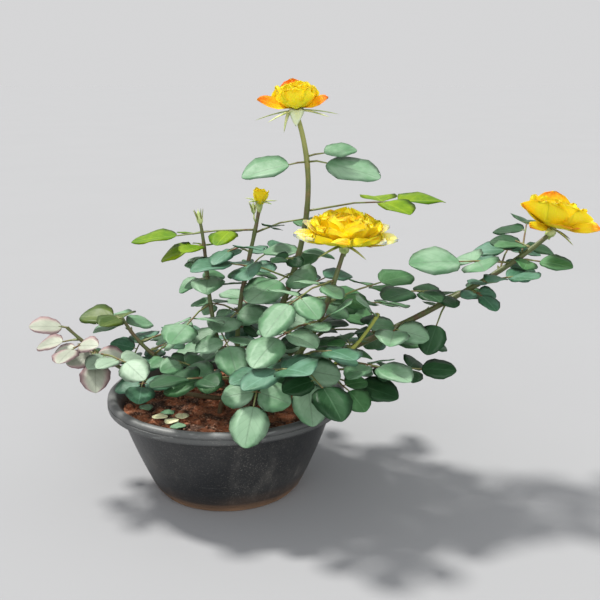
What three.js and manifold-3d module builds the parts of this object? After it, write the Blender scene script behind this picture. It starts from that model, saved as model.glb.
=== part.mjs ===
// A rose bush in a low black pot: a woody crown, thirteen short canes and a leafy shoot on each
import * as THREE from 'three';
import { mergeVertices } from 'three/addons/utils/BufferGeometryUtils.js';
import Module from 'manifold-3d';

const wasm = await Module();
wasm.setup();

// Clearance between neighbouring solids, in millimetres like every size here
const GAP = 0.3;

// Pot
const RIM_RADIUS = 132.5;
const POT_HEIGHT = 112;
const LIP_DROP = 13;
const LIP_WIDTH = 10;
const NECK_RADIUS = 120;
const BASE_RADIUS = 84;
const FOOT_RADIUS = 78;
const FOOT_HEIGHT = 7;
const WALL_BULGE = 2;
const WALL = 3;
const FLOOR = 4;
const POT_SIDES = 32;

// Soil, its lumps and the small leaves that fell on it
const SOIL_HEIGHT = 95;
const SOIL_ROLL = 1.3;
const LUMP_COUNT = 12;
const LUMP_RADIUS = 6.5;
const LITTER_LENGTH = 17;

// Woody crown that all canes but one grow from
const CROWN = new THREE.Vector3(18, 0, SOIL_HEIGHT);
const CROWN_RADIUS = 13;
const CROWN_HEIGHT = 28;
const CROWN_FLARE = 20;

// Leaves
const GOLDEN = 137.5;
const BLADE_SHARE = 0.92;
const BLADE_THICK = 1.3;
const STALK_RADIUS = 1.6;
const PETAL_THICK = 1.5;
const TURN_TO_LIGHT = 0.75;
const BLADE_ROOM = 5;
const STEM_ROOM = 3;
const SAMPLE_ROWS = [[0.08, 0.3], [0.3, 0.5, 0.9], [0.55, 0.5, 1], [0.8, 0.35, 0.65], [1]];
const TRIES = 14;

// Each shoot: name; azimuth, rise and height of its foot on the crown; tip; azimuth and rise of
// the tip; radius at foot and tip; pull of foot and tip on the curve; then leaf count, where the
// leaves begin and end, leaflet length and seed. The front one stands in the soil by itself.
const SHOOTS = [
  ['top', [15, 66, 22], [79, 15, 412], [185, 72], [3.6, 2.6], [0.42, 0.34], [4, 0.24, 0.6, 42, 164]],
  ['centre', [-30, 30, 20], [128, -35, 277], [40, 66], [3.2, 2.3], [0.5, 0.42], [4, 0.42, 0.92, 38, 101]],
  ['right', [-4, 26, 12], [344, -25, 293], [5, 42], [3.8, 2.4], [0.34, 0.26], [7, 0.34, 0.92, 40, 101]],
  ['bud', [120, 74, 24], [37, 35, 311], [20, 80], [3, 2], [0.4, 0.3], [5, 0.3, 0.9, 38, 192]],
  ['left', [170, 62, 18], [-28, 30, 294], [150, 78], [2.9, 1.8], [0.4, 0.3], [5, 0.3, 0.94, 36, 234]],
  ['low_left', [176, 16, 14], [-116, 10, 191], [180, 62], [2.8, 1.7], [0.46, 0.36], [5, 0.4, 0.94, 37, 297]],
  ['far_left', [200, 6, 6], [-170, -20, 189], [180, 46], [2.8, 1.6], [0.4, 0.32], [5, 0.44, 0.92, 33, 171]],
  ['front', [20, 82, 0], [43, -84, 163], [-60, 40], [2.7, 1.7], [0.42, 0.25], [2, 0.4, 0.96, 42, 241],
    [-6, -33, 95.3]],
  ['front_right', [-66, 50, 8], [84, -78, 180], [-60, 50], [2.8, 1.7], [0.42, 0.25], [5, 0.3, 0.96, 42, 311]],
  ['low_right', [-34, 22, 6], [163, -60, 216], [-5, 62], [2.8, 1.7], [0.5, 0.34], [5, 0.42, 0.92, 38, 290]],
  ['back', [80, 50, 14], [55, 115, 184], [70, 60], [2.8, 1.8], [0.42, 0.28], [6, 0.3, 1, 40, 178]],
  ['back_left', [130, 36, 10], [-33, 90, 153], [140, 50], [2.7, 1.7], [0.42, 0.28], [5, 0.34, 1, 40, 220]],
  ['back_right', [42, 34, 12], [144, 85, 190], [30, 55], [2.8, 1.7], [0.42, 0.28], [5, 0.34, 1, 40, 206]],
];

// Leaves that show singly: shoot, place on it, azimuth, rise, reach, leaflet length, pairs, droop
const NAMED_LEAVES = [
  ['front', 1, -103, -32, 87, 44, 2, 16],
  ['front_right', 1, -77, -37, 79, 42, 2, 20],
  ['top', 0.83, -20, 14, 83, 60, 0, 30],
  ['top', 0.85, 10, 17, 56, 36, 0, 14],
  ['top', 0.83, -173, 0, 72, 52, 0, 16],
  ['top', 0.64, 22, 9, 172, 58, 1, 14],
  ['top', 0.4, -131, -7, 74, 50, 1, 12],
  ['bud', 0.86, 177, 1, 141, 52, 2, 12],
  ['bud', 0.36, -105, 13, 71, 42, 1, 20],
  ['left', 0.66, -85, 12, 53, 38, 1, 24],
  ['left', 0.86, 165, -8, 56, 40, 1, 16],
  ['far_left', 1, -158, 23, 40, 34, 0, 20],
  ['far_left', 0.8, -79, -15, 57, 36, 1, 24],
  ['far_left', 0.9, 169, -2, 54, 32, 0, 16],
  ['low_left', 1, 169, 10, 51, 40, 1, 14],
  ['low_left', 0.62, -38, 42, 73, 46, 0, 10],
  ['low_right', 0.98, -127, 42, 44, 34, 0, 10],
  ['low_right', 0.5, -9, 11, 137, 36, 2, 14],
  ['low_right', 0.44, -22, 0, 90, 44, 0, 14],
  ['centre', 0.6, -57, 38, 64, 34, 0, 10],
  ['right', 0.62, -123, -24, 68, 34, 0, 30],
  ['right', 0.84, -168, 10, 113, 54, 1, 12],
  ['right', 0.92, 124, 16, 68, 44, 1, 10],
  ['right', 0.86, -31, 8, 59, 34, 1, 14],
];

// Blooms: shoot, radius, height, azimuth and rise of the axis, rings of petals, sepal length.
// A ring is a count, length and width as shares of the radius, lean at the foot and at the edge
const CUPPED = [[5, 1.06, 0.92, 48, 70], [5, 0.9, 0.85, 22, 38]];
const WIDE = [[5, 0.98, 0.95, 60, 92], [5, 0.94, 0.88, 38, 62]];
const HALF_OPEN = [[3, 1.5, 1.2, 16, 34]];
// Heart of a bloom: radius and height as shares of the bloom's, and depth of its ruffle
const HEART_PROFILE = [[0.1, 0.06, 0], [0.3, 0.3, 0.05], [0.44, 0.62, 0.14], [0.42, 0.96, 0.2],
  [0.28, 1, 0.2], [0.16, 0.78, 0.1]];
const BLOOMS = [
  ['top', 40, 32, 180, 86, CUPPED, 46],
  ['centre', 46, 36, -60, 84, WIDE, 34],
  ['right', 42, 34, 0, 70, CUPPED, 34],
  ['bud', 14, 24, 0, 84, HALF_OPEN, 18],
];

const COLOURS = {
  pot: [0x26282b, 0.5],
  soil: [0x8a4a34, 0.95],
  crown: [0x6b5138, 0.9],
  cane: [0x6f7a3c, 0.7],
  shoot: [0x5c9270, 0.6],
};

const vec = (x, y, z) => new THREE.Vector3(x, y, z);
const radians = THREE.MathUtils.degToRad;

// Repeatable dice, the same in every run
class Dice {
  constructor(seed) {
    this.state = seed;
  }

  roll() {
    this.state = (this.state * 16807) % 2147483647;
    return this.state / 2147483647;
  }

  spread(amount) {
    return (2 * this.roll() - 1) * amount;
  }
}

// Unit vector of an azimuth and a rise above the level, both in degrees
function heading(azimuth, rise) {
  const a = radians(azimuth);
  const e = radians(rise);
  return vec(Math.cos(a) * Math.cos(e), Math.sin(a) * Math.cos(e), Math.sin(e));
}

// A vector turned about a unit axis by some degrees
function turned(v, axis, angle) {
  const a = radians(angle);
  const along = axis.dot(v) * (1 - Math.cos(a));
  const across = vec(0, 0, 0).crossVectors(axis, v);
  const turn = v.clone().multiplyScalar(Math.cos(a));
  return turn.addScaledVector(across, Math.sin(a)).addScaledVector(axis, along);
}

function cross(a, b) {
  return vec(0, 0, 0).crossVectors(a, b);
}

function step(p, direction, length) {
  return p.clone().addScaledVector(direction, length);
}

// One closed solid from corner points and triangles
function solid(points, faces) {
  const vertProperties = new Float32Array(points.length * 3);
  points.forEach((p, i) => vertProperties.set([p.x, p.y, p.z], i * 3));
  const triVerts = new Uint32Array(faces.flat());
  return new wasm.Manifold(new wasm.Mesh({ numProp: 3, vertProperties, triVerts }));
}

// A closed geometry as a solid, its shared corners merged
function solidOf(geometry) {
  geometry.deleteAttribute('normal');
  geometry.deleteAttribute('uv');
  const merged = mergeVertices(geometry, 1e-3);
  const vertProperties = new Float32Array(merged.attributes.position.array);
  const triVerts = new Uint32Array(merged.index.array);
  return new wasm.Manifold(new wasm.Mesh({ numProp: 3, vertProperties, triVerts }));
}

// A shape turned about the upright axis, from pairs of radius and height
function lathe(profile, sides) {
  const points = profile.map(([radius, height]) => new THREE.Vector2(radius, height));
  return new THREE.LatheGeometry(points, sides).rotateX(Math.PI / 2);
}

// Moves every corner of a geometry to where a rule puts it
function moved(geometry, rule) {
  const { position } = geometry.attributes;
  for (let i = 0; i < position.count; i += 1) {
    const p = rule(vec(position.getX(i), position.getY(i), position.getZ(i)));
    position.setXYZ(i, p.x, p.y, p.z);
  }
  return geometry;
}

// Rings of equal count, joined in order and closed at both ends
function loft(rings) {
  const n = rings[0].length;
  const last = (rings.length - 1) * n;
  const faces = [];
  for (let k = 0; k < last; k += n) {
    for (let i = 0; i < n; i += 1) {
      const a = k + i;
      const b = k + ((i + 1) % n);
      faces.push([a, b, b + n], [a, b + n, a + n]);
    }
  }
  for (let i = 1; i + 1 < n; i += 1) {
    faces.push([0, i + 1, i], [last, last + i, last + i + 1]);
  }
  return solid(rings.flat(), faces);
}

// A round limb along a row of points, with the way it runs at each of them
function tube(points, ways, radii, sides) {
  let side = null;
  const rings = points.map((p, k) => {
    const along = ways[k];
    if (!side) {
      side = Math.abs(along.z) < 0.9 ? vec(0, 0, 1) : vec(1, 0, 0);
    }
    side = side.clone().addScaledVector(along, -side.dot(along)).normalize();
    const other = cross(along, side);
    return Array.from({ length: sides }, (_, i) => {
      const a = (2 * Math.PI * i) / sides;
      return step(step(p, side, radii[k] * Math.cos(a)), other, radii[k] * Math.sin(a));
    });
  });
  return loft(rings);
}

// The largest body of several fused solids, with sealed hollows filled and slivers gone
function fused(solids) {
  const whole = wasm.Manifold.union(solids).simplify(0.12);
  const bodies = whole.decompose();
  return bodies.reduce((a, b) => (b.volume() > a.volume() ? b : a));
}

// Radius of the pot's outside at a height on its wall
function wallRadius(height) {
  const s = (height - FOOT_HEIGHT) / (POT_HEIGHT - LIP_DROP - FOOT_HEIGHT);
  return BASE_RADIUS + (NECK_RADIUS - BASE_RADIUS) * s + WALL_BULGE * Math.sin(Math.PI * s);
}

function innerRadius(height) {
  return wallRadius(height) - WALL;
}

function buildPot() {
  const lip = POT_HEIGHT - LIP_DROP;
  const top = RIM_RADIUS - LIP_WIDTH;
  const outer = [[FOOT_RADIUS, 0], [FOOT_RADIUS + 1, FOOT_HEIGHT - 1], [BASE_RADIUS, FOOT_HEIGHT]];
  for (const share of [0.33, 0.67, 1]) {
    const height = FOOT_HEIGHT + (lip - FOOT_HEIGHT) * share;
    outer.push([wallRadius(height), height]);
  }
  outer.push([RIM_RADIUS - 1.5, lip], [RIM_RADIUS, lip + 2], [RIM_RADIUS, POT_HEIGHT - 4]);
  outer.push([RIM_RADIUS - 3, POT_HEIGHT - 0.6], [RIM_RADIUS - 6, POT_HEIGHT]);
  const inner = [[top, POT_HEIGHT - 1.5], [NECK_RADIUS - WALL, lip]];
  for (const share of [0.67, 0.33]) {
    const height = FOOT_HEIGHT + (lip - FOOT_HEIGHT) * share;
    inner.push([innerRadius(height), height]);
  }
  inner.push([innerRadius(FOOT_HEIGHT + 3), FOOT_HEIGHT + 3], [FOOT_RADIUS - 4, FLOOR]);
  return solidOf(lathe([[0, 0], ...outer, ...inner, [0, FLOOR]], POT_SIDES));
}

// The bend of a cane and its shoot: one curve from the crown to the tip
class Limb {
  constructor(row) {
    [this.name, this.foot, this.tip, this.lean, this.radii, this.pull] = row;
    [this.count, this.from, this.to, this.length, this.seed] = row[6];
    const [azimuth, rise, height] = this.foot;
    const end = vec(...this.tip);
    const inside = step(CROWN, heading(azimuth, 0), CROWN_RADIUS * 0.6);
    const start = row[7] ? vec(...row[7]) : step(inside, vec(0, 0, 1), height);
    const span = end.distanceTo(start);
    const pullStart = step(start, heading(azimuth, rise), span * this.pull[0]);
    const pullEnd = step(end, heading(...this.lean), -span * this.pull[1]);
    this.curve = new THREE.CubicBezierCurve3(start, pullStart, pullEnd, end);
    this.ownFoot = Boolean(row[7]);
  }

  at(t) {
    return this.curve.getPoint(t);
  }

  radius(t) {
    return this.radii[0] + (this.radii[1] - this.radii[0]) * t;
  }

  piece(from, to, pieces, sides) {
    const places = Array.from({ length: pieces + 1 }, (_, k) => from + ((to - from) * k) / pieces);
    const ways = places.map((t) => this.curve.getTangent(t));
    return tube(places.map((t) => this.at(t)), ways, places.map((t) => this.radius(t)), sides);
  }
}

// A leaflet as a flat oval: where it starts, its way, its face, its length
class Blade {
  constructor(base, way, normal, length) {
    this.base = base;
    this.way = way.clone().normalize();
    this.side = cross(normal, this.way).normalize();
    this.face = cross(this.way, this.side);
    this.length = length;
    this.width = length * BLADE_SHARE;
    this.centre = step(base, this.way, length / 2);
  }

  samples() {
    const marks = [];
    for (const [share, ...halves] of SAMPLE_ROWS) {
      const mid = step(this.base, this.way, this.length * share);
      marks.push(mid);
      for (const half of halves) {
        marks.push(step(mid, this.side, (this.width / 2) * half));
        marks.push(step(mid, this.side, (-this.width / 2) * half));
      }
    }
    return marks;
  }

  holds(p, gap, room) {
    const d = p.clone().sub(this.centre);
    if (Math.abs(d.dot(this.face)) > gap) {
      return false;
    }
    const a = d.dot(this.way) / (this.length / 2 + room);
    const b = d.dot(this.side) / (this.width / 2 + room);
    return a * a + b * b < 1;
  }
}

// One rose leaf: points of its stalk and its blades, an end one and pairs beside the stalk
function growLeaf(p, azimuth, rise, reach, length, pairs, droop, roll, dice) {
  const steps = 4;
  const stalk = Math.max(reach - length, 6);
  const level = heading(azimuth + 90, 0);
  const points = [p];
  for (let k = 0; k < steps; k += 1) {
    const way = heading(azimuth, rise - (droop * (k + 0.5)) / steps);
    points.push(step(points[k], way, stalk / steps));
  }
  const light = vec(0, -0.55, 1).addScaledVector(heading(azimuth, 0), 0.3);
  const blades = [];

  function leaflet(share, angle, sag, twist, size) {
    const stalkWay = heading(azimuth, rise - droop * share);
    const up = turned(cross(stalkWay, level), stalkWay, roll);
    let way = turned(stalkWay, up, angle);
    const side = cross(up, way).normalize();
    way = turned(way, side, sag);
    const own = cross(way, side).multiplyScalar(1 - TURN_TO_LIGHT);
    const want = light.clone().addScaledVector(way, -light.dot(way)).normalize();
    const face = turned(own.addScaledVector(want, TURN_TO_LIGHT).normalize(), way, twist);
    const half = share < 0.5 ? 0 : 2;
    const on = points[half].clone().lerp(points[half + 2], share * 2 - half / 2);
    blades.push(new Blade(angle ? step(on, way, 3) : points[steps], way, face, size));
  }

  const endSag = 2 + dice.spread(8);
  leaflet(1, 0, endSag, dice.spread(10), length);
  for (let k = 0; k < pairs; k += 1) {
    const place = Math.max(0.15, 1 - ((0.38 + 0.8 * k) * length) / stalk);
    for (const sign of [1, -1]) {
      const angle = sign * (78 + dice.spread(10));
      const sag = 5 + dice.spread(9);
      const twist = dice.spread(14);
      const size = length * [0.82, 0.7][k] * (1 + dice.spread(0.08));
      leaflet(place, angle, sag, twist, size);
    }
  }
  return { points, blades };
}

// True where a point of a leaf would stay clear of pot and soil
function clearOfPot(p, gap) {
  const r = Math.hypot(p.x, p.y);
  if (r < RIM_RADIUS - LIP_WIDTH - gap) {
    return p.z > SOIL_HEIGHT + 7;
  }
  if (r < RIM_RADIUS + gap) {
    return p.z > POT_HEIGHT + gap;
  }
  return p.z > 40;
}

// The bush while it grows: a leaf is taken up only where it keeps clear of everything before it
class Bush {
  constructor() {
    this.limbs = SHOOTS.map((row) => new Limb(row));
    this.stems = this.limbs.flatMap((limb) => Array.from({ length: 41 }, (_, i) => (
      { limb, t: i / 40, p: limb.at(i / 40), r: limb.radius(i / 40) })));
    this.blooms = BLOOMS.map(([name, radius, height, azimuth, rise, rings, sepal]) => {
      const limb = this.limbs.find((l) => l.name === name);
      return { limb, foot: limb.at(1), radius, height, axis: heading(azimuth, rise), rings, sepal };
    });
    this.blades = [];
    this.stalks = [];
    this.leaves = [];
  }

  clearBlade(blade) {
    const marks = blade.samples();
    if (!marks.every((q) => clearOfPot(q, 4))) {
      return false;
    }
    for (const bloom of this.blooms) {
      for (const q of marks) {
        const d = q.clone().sub(bloom.foot);
        const along = d.dot(bloom.axis);
        const off = step(d, bloom.axis, -along).length();
        if (along > -14 && along < bloom.height + 6 && off < bloom.radius + 5) {
          return false;
        }
      }
    }
    if (this.stems.some((s) => blade.holds(s.p, s.r + STEM_ROOM, s.r + 1.5))) {
      return false;
    }
    if (this.stalks.some((q) => blade.holds(q, 4, 2))) {
      return false;
    }
    for (const other of this.blades) {
      const near = (other.length + blade.length) / 2 + 4;
      if (other.centre.distanceTo(blade.centre) <= near) {
        const hit = marks.some((q) => other.holds(q, BLADE_ROOM, 3));
        if (hit || other.samples().some((q) => blade.holds(q, BLADE_ROOM, 3))) {
          return false;
        }
      }
    }
    return true;
  }

  tryLeaf(limb, t, sizes, dice, named) {
    const { points, blades } = growLeaf(limb.at(t), ...sizes, dice);
    const halfway = points.slice(2).map((q, k) => q.clone().lerp(points[k + 1], 0.5));
    const stalk = [...points.slice(2), ...halfway];
    for (const q of stalk) {
      if (!clearOfPot(q, 3) || this.blades.some((b) => b.holds(q, 4, 2))) {
        return false;
      }
      const hit = this.stems.some((s) => s.p.distanceTo(q) < s.r + STEM_ROOM
        && (s.limb !== limb || Math.abs(s.t - t) > 0.08));
      if (hit) {
        return false;
      }
    }
    const kept = blades.filter((b) => this.clearBlade(b));
    const enough = named ? kept.length > 0 : kept.length > 2 && kept[0] === blades[0];
    if (enough) {
      this.leaves.push({ limb, points, blades: kept });
      this.blades.push(...kept);
      this.stalks.push(...stalk);
    }
    return enough;
  }

  grow() {
    for (const [name, t, ...sizes] of NAMED_LEAVES) {
      const limb = this.limbs.find((l) => l.name === name);
      this.tryLeaf(limb, t, [...sizes, 0], new Dice(11), true);
    }
    this.limbs.forEach((limb, k) => {
      const dice = new Dice(limb.seed);
      for (let i = 0; i < limb.count; i += 1) {
        const t = limb.from + ((limb.to - limb.from) * (i + 0.5)) / limb.count;
        const first = 40 * k + GOLDEN * i + dice.spread(60);
        let done = false;
        for (let attempt = 0; attempt < TRIES && !done; attempt += 1) {
          const rise = 18 + dice.spread(16);
          const pairs = dice.roll() < 0.6 ? 2 : 1;
          const length = limb.length * (1 + dice.spread(0.16));
          const reach = (1.15 + 0.75 * pairs) * length;
          const droop = 22 + dice.spread(12);
          const sizes = [first + attempt * 47, rise, reach, length, pairs, droop, dice.spread(12)];
          done = this.tryLeaf(limb, t, sizes, dice, false);
        }
      }
    });
  }
}

// A leaflet's solid: base, two corners a side and tip, thick along its middle and thin at the edge
function bladeSolid(blade, root) {
  const half = BLADE_THICK / 2;
  const sag = (share) => -0.06 * blade.length * Math.max(share, 0) ** 2;
  const on = (share) => step(step(blade.base, blade.way, blade.length * share), blade.face, sag(share));
  const points = [step(blade.base, blade.way, -root), on(1)];
  for (const [share, wide] of [[0.3, 0.95], [0.7, 0.84]]) {
    const edge = step(on(share), blade.face, 0.04 * blade.width);
    points.push(step(edge, blade.side, (blade.width / 2) * wide));
    points.push(step(edge, blade.side, (-blade.width / 2) * wide));
  }
  for (const share of [0.08, 0.6]) {
    points.push(step(on(share), blade.face, half), step(on(share), blade.face, -half));
  }
  const top = [[0, 2, 6], [2, 4, 8], [2, 8, 6], [4, 1, 8], [3, 0, 6], [5, 3, 8], [3, 6, 8], [1, 5, 8]];
  const faces = top.flatMap(([x, y, z]) => {
    const under = [x, y, z].map((i) => (i > 5 ? i + 1 : i));
    return [[y, x, z], under];
  });
  return solid(points, faces);
}

// A petal: a cupped sheet, four rows of three corners, thick in the middle and thin at the edge
function petalSolid(foot, axis, azimuth, length, width, near, far) {
  const out = turned(cross(axis, vec(0.3, 1, 0)).normalize(), axis, azimuth);
  const side = cross(axis, out);
  const points = [];
  const unders = new Map();
  let mid = step(step(foot, axis, 3), out, 2.5);
  let before = 0;
  for (const [share, wide] of [[0, 0.12], [0.45, 0.85], [0.8, 1], [1, 0.55]]) {
    const a = radians(near + (far - near) * (share + before) * 0.5);
    const way = out.clone().multiplyScalar(Math.sin(a)).addScaledVector(axis, Math.cos(a));
    mid = step(mid, way, length * (share - before));
    const face = cross(side, way);
    for (const u of [-1, 0, 1]) {
      const level = step(mid, side, (u * wide * width) / 2);
      const p = step(level, face, -0.16 * u * u * width * wide);
      if (u === 0 && share > 0 && share < 1) {
        unders.set(points.length, step(p, face, -PETAL_THICK));
      }
      points.push(p);
    }
    before = share;
  }
  const faces = [];
  for (const a of [0, 1, 3, 4, 6, 7]) {
    faces.push([a, a + 4, a + 3], [a, a + 1, a + 4]);
  }
  const keys = [...unders.keys()];
  const low = (i) => (unders.has(i) ? points.length + keys.indexOf(i) : i);
  faces.push(...faces.map(([x, y, z]) => [low(y), low(x), low(z)]));
  return solid([...points, ...unders.values()], faces);
}

// A pointed green sepal with eight faces
function sepalSolid(start, way, side, length) {
  const face = cross(way, side);
  const mid = step(start, way, length * 0.4);
  const tip = step(step(start, way, length), face, -length * 0.12);
  const corners = [start, step(mid, side, 3), tip, step(mid, side, -3)];
  corners.push(step(mid, face, 1), step(mid, face, -1));
  const faces = [];
  for (const [x, y] of [[0, 1], [1, 2], [2, 3], [3, 0]]) {
    faces.push([x, 4, y], [x, y, 5]);
  }
  return solid(corners, faces);
}

// The heart of a bloom: its inner petals as one ruffled cup with a hollow top
function heartSolid(foot, axis, radius, height) {
  const out = cross(axis, vec(0.3, 1, 0)).normalize();
  const rings = HEART_PROFILE.map(([wide, high, wave]) => Array.from({ length: 10 }, (_, i) => {
    const a = (360 * i) / 10;
    const reach = radius * wide * (1 + wave * Math.cos(radians(a * 5)));
    const p = step(foot, axis, height * (high + 0.25 * wave * Math.cos(radians(a * 3))));
    return step(p, turned(out, axis, a), reach);
  }));
  return loft(rings);
}

// A bloom: hip, five sepals, a heart and rings of petals from the widest in
function bloomSolids({ foot, radius, height, axis, rings, sepal }, seed) {
  const dice = new Dice(seed);
  const small = radius < 20;
  const hip = small ? 3.5 : 5.5;
  const neck = [-3, 0, 4, 7].map((d) => step(foot, axis, d));
  const solids = [tube(neck, neck.map(() => axis), [2.2, hip, hip, hip * 0.7], 6)];
  solids.push(heartSolid(step(foot, axis, 2), axis, radius * (small ? 1.7 : 1), height - 4));
  for (let k = 0; k < 5; k += 1) {
    const out = turned(cross(axis, vec(0.3, 1, 0)).normalize(), axis, 72 * k + dice.spread(12));
    const way = out.clone().addScaledVector(axis, small ? 0.5 : -0.25).normalize();
    const side = cross(axis, way).normalize();
    solids.push(sepalSolid(step(step(foot, axis, 1), way, 1), way, side, sepal));
  }
  rings.forEach(([count, length, width, near, far], ring) => {
    for (let k = 0; k < count; k += 1) {
      const azimuth = (360 * (k + 0.5 * ring)) / count + dice.spread(6);
      const bend = dice.spread(6);
      const size = length * radius * (1 + dice.spread(0.06));
      solids.push(petalSolid(foot, axis, azimuth, size, width * radius, near, far + bend));
    }
  });
  return solids;
}

// Crown: a flared, knobbly stump with its flat cut on the soil
function crownSolid(extra) {
  const profile = [[CROWN_FLARE, 0], [CROWN_RADIUS * 1.25, 5], [CROWN_RADIUS, 12]];
  profile.push([CROWN_RADIUS * 0.95, CROWN_HEIGHT * 0.75], [CROWN_RADIUS * 0.5, CROWN_HEIGHT]);
  const around = profile.map(([r, z]) => [r + extra, z > 0 ? z + extra : 0]);
  const shape = lathe([[0, 0], ...around, [0, CROWN_HEIGHT + extra]], 12);
  const knobbly = moved(shape, (p) => {
    const knob = p.z > 0 ? 1 + 0.08 * Math.sin(4 * Math.atan2(p.y, p.x) + 0.1 * p.z) : 1;
    return vec(p.x * knob, p.y * knob, p.z).add(CROWN).add(vec(0, 0, GAP - extra));
  });
  return solidOf(knobbly);
}

// Soil: fills the pot, rolls a little, lies flat under the crown and the front shoot
function soilSolid(limbs) {
  const own = limbs.filter((limb) => limb.ownFoot).map((limb) => [limb.at(0), 12]);
  const seats = [[CROWN, CROWN_FLARE + 4], ...own];
  const ground = (x, y) => {
    let share = Math.min(1, (innerRadius(SOIL_HEIGHT) - Math.hypot(x, y)) / 12);
    for (const [p, clear] of seats) {
      const away = (Math.hypot(x - p.x, y - p.y) - clear) / 12;
      share = Math.min(share, THREE.MathUtils.clamp(away, 0, 1));
    }
    const roll = Math.sin(0.09 * x + 1) * Math.cos(0.11 * y) + 0.7 * Math.sin(0.2 * x + 0.17 * y);
    return SOIL_HEIGHT + SOIL_ROLL * roll * share;
  };
  const room = GAP * 1.5;
  const profile = [[0, FLOOR + GAP], [FOOT_RADIUS - 4 - room, FLOOR + GAP]];
  profile.push([innerRadius(FOOT_HEIGHT + 3) - room, FOOT_HEIGHT + 3]);
  for (const share of [0.33, 0.67]) {
    const height = FOOT_HEIGHT + (POT_HEIGHT - LIP_DROP - FOOT_HEIGHT) * share;
    profile.push([innerRadius(height) - room, height]);
  }
  const edge = innerRadius(SOIL_HEIGHT) - room;
  profile.push(...[1, 0.8, 0.58, 0.34, 0].map((share) => [edge * share, SOIL_HEIGHT]));
  const body = solidOf(moved(lathe(profile, POT_SIDES), (p) => {
    const top = p.z > SOIL_HEIGHT - 1;
    return top ? vec(p.x, p.y, ground(p.x, p.y)) : p;
  }));
  return { body: body.subtract(crownSolid(GAP)), ground };
}

// Lumps half sunk in the soil, away from every stem
function lumpSolids(bush, ground) {
  const dice = new Dice(77);
  const lumps = [];
  for (let k = 0; k < 90 && lumps.length < LUMP_COUNT; k += 1) {
    const azimuth = radians(360 * dice.roll());
    const off = 100 * Math.sqrt(dice.roll());
    const size = LUMP_RADIUS * (1 + dice.spread(0.3));
    const x = off * Math.cos(azimuth);
    const y = off * Math.sin(azimuth);
    const centre = vec(x, y, ground(x, y) - size * 0.3);
    const far = Math.hypot(x - CROWN.x, y - CROWN.y) > CROWN_FLARE + size + 3;
    const free = bush.stems.every((s) => s.p.distanceTo(centre) > s.r + size * 1.3 + 1);
    if (far && free) {
      const shape = new THREE.IcosahedronGeometry(size, 0).scale(1 + dice.spread(0.25), 1, 0.75);
      lumps.push(solidOf(shape.rotateZ(azimuth).translate(x, y, centre.z)));
    }
  }
  return lumps;
}

// Small leaves that lie on the soil near the rim
function litterSolids(ground) {
  const places = [[-68, -54], [-54, -63], [-45, -49], [-63, -36], [-46, -76], [-98, 2], [-88, -22]];
  return places.map(([x, y], k) => {
    const way = heading(50 * k, 0);
    const base = step(vec(x, y, ground(x, y) + 0.1), way, -LITTER_LENGTH / 2);
    return bladeSolid(new Blade(base, way, vec(0, 0, 1), LITTER_LENGTH), 0);
  });
}

// Cane: from the crown or the soil up to the foot of its shoot
function caneSolid(limb) {
  const slope = limb.at(limb.from).distanceTo(limb.at(limb.from - 0.001)) / 0.001;
  const end = limb.from - GAP / slope;
  const cane = limb.piece(0, end, 4, 5);
  if (limb.ownFoot) {
    return cane.trimByPlane([0, 0, 1], SOIL_HEIGHT + GAP);
  }
  return fused([cane.subtract(crownSolid(GAP))]);
}

// Shoot: the upper stem with its leaves and, where it bears one, its bloom
function shootSolid(limb, bush) {
  const solids = [limb.piece(limb.from, 1, 6, 5)];
  for (const leaf of bush.leaves.filter((l) => l.limb === limb)) {
    const [foot, , middle, , end] = leaf.points;
    const ways = [[foot, middle], [foot, end], [middle, end]].map(([p, q]) => q.clone().sub(p).normalize());
    const radii = [STALK_RADIUS, STALK_RADIUS, STALK_RADIUS * 0.75];
    solids.push(tube([foot, middle, end], ways, radii, 3));
    solids.push(...leaf.blades.map((blade) => bladeSolid(blade, blade.base === end ? 0.5 : 2.7)));
  }
  const bloom = bush.blooms.find((b) => b.limb === limb);
  if (bloom) {
    solids.push(...bloomSolids(bloom, limb.seed + 5));
  }
  return fused(solids);
}

// Turns a solid into a named mesh
function meshOf(name, body, [colour, roughness]) {
  const { vertProperties, triVerts } = body.getMesh();
  const geometry = new THREE.BufferGeometry();
  geometry.setAttribute('position', new THREE.BufferAttribute(new Float32Array(vertProperties), 3));
  geometry.setIndex(new THREE.BufferAttribute(new Uint32Array(triVerts), 1));
  geometry.computeVertexNormals();
  const material = new THREE.MeshStandardMaterial({ color: colour, roughness, metalness: 0 });
  const mesh = new THREE.Mesh(geometry, material);
  mesh.name = name;
  return mesh;
}

const bush = new Bush();
bush.grow();
const soil = soilSolid(bush.limbs);

const part = new THREE.Group();
part.name = 'rose_bush';
part.add(meshOf('pot', buildPot(), COLOURS.pot));
const ground = [soil.body, ...lumpSolids(bush, soil.ground), ...litterSolids(soil.ground)];
part.add(meshOf('soil', fused(ground), COLOURS.soil));
part.add(meshOf('crown', crownSolid(0), COLOURS.crown));
for (const limb of bush.limbs) {
  part.add(meshOf(`${limb.name}_cane`, caneSolid(limb), COLOURS.cane));
  part.add(meshOf(`${limb.name}_shoot`, shootSolid(limb, bush), COLOURS.shoot));
}

export default part;
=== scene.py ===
# %% [markdown]
# # A rose bush in a low black pot
#
# The real plant is a young garden rose: a woody crown, thirteen arching canes, leaves of three or
# five leaflets, three open yellow blooms with orange edges and one half-open bud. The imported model
# is the fixed frame. It gives the sizes, and every piece below grows in the same place.

# %% Load the fixed frame
import math
from math import radians

import bpy
import numpy as np
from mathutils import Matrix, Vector, noise


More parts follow.
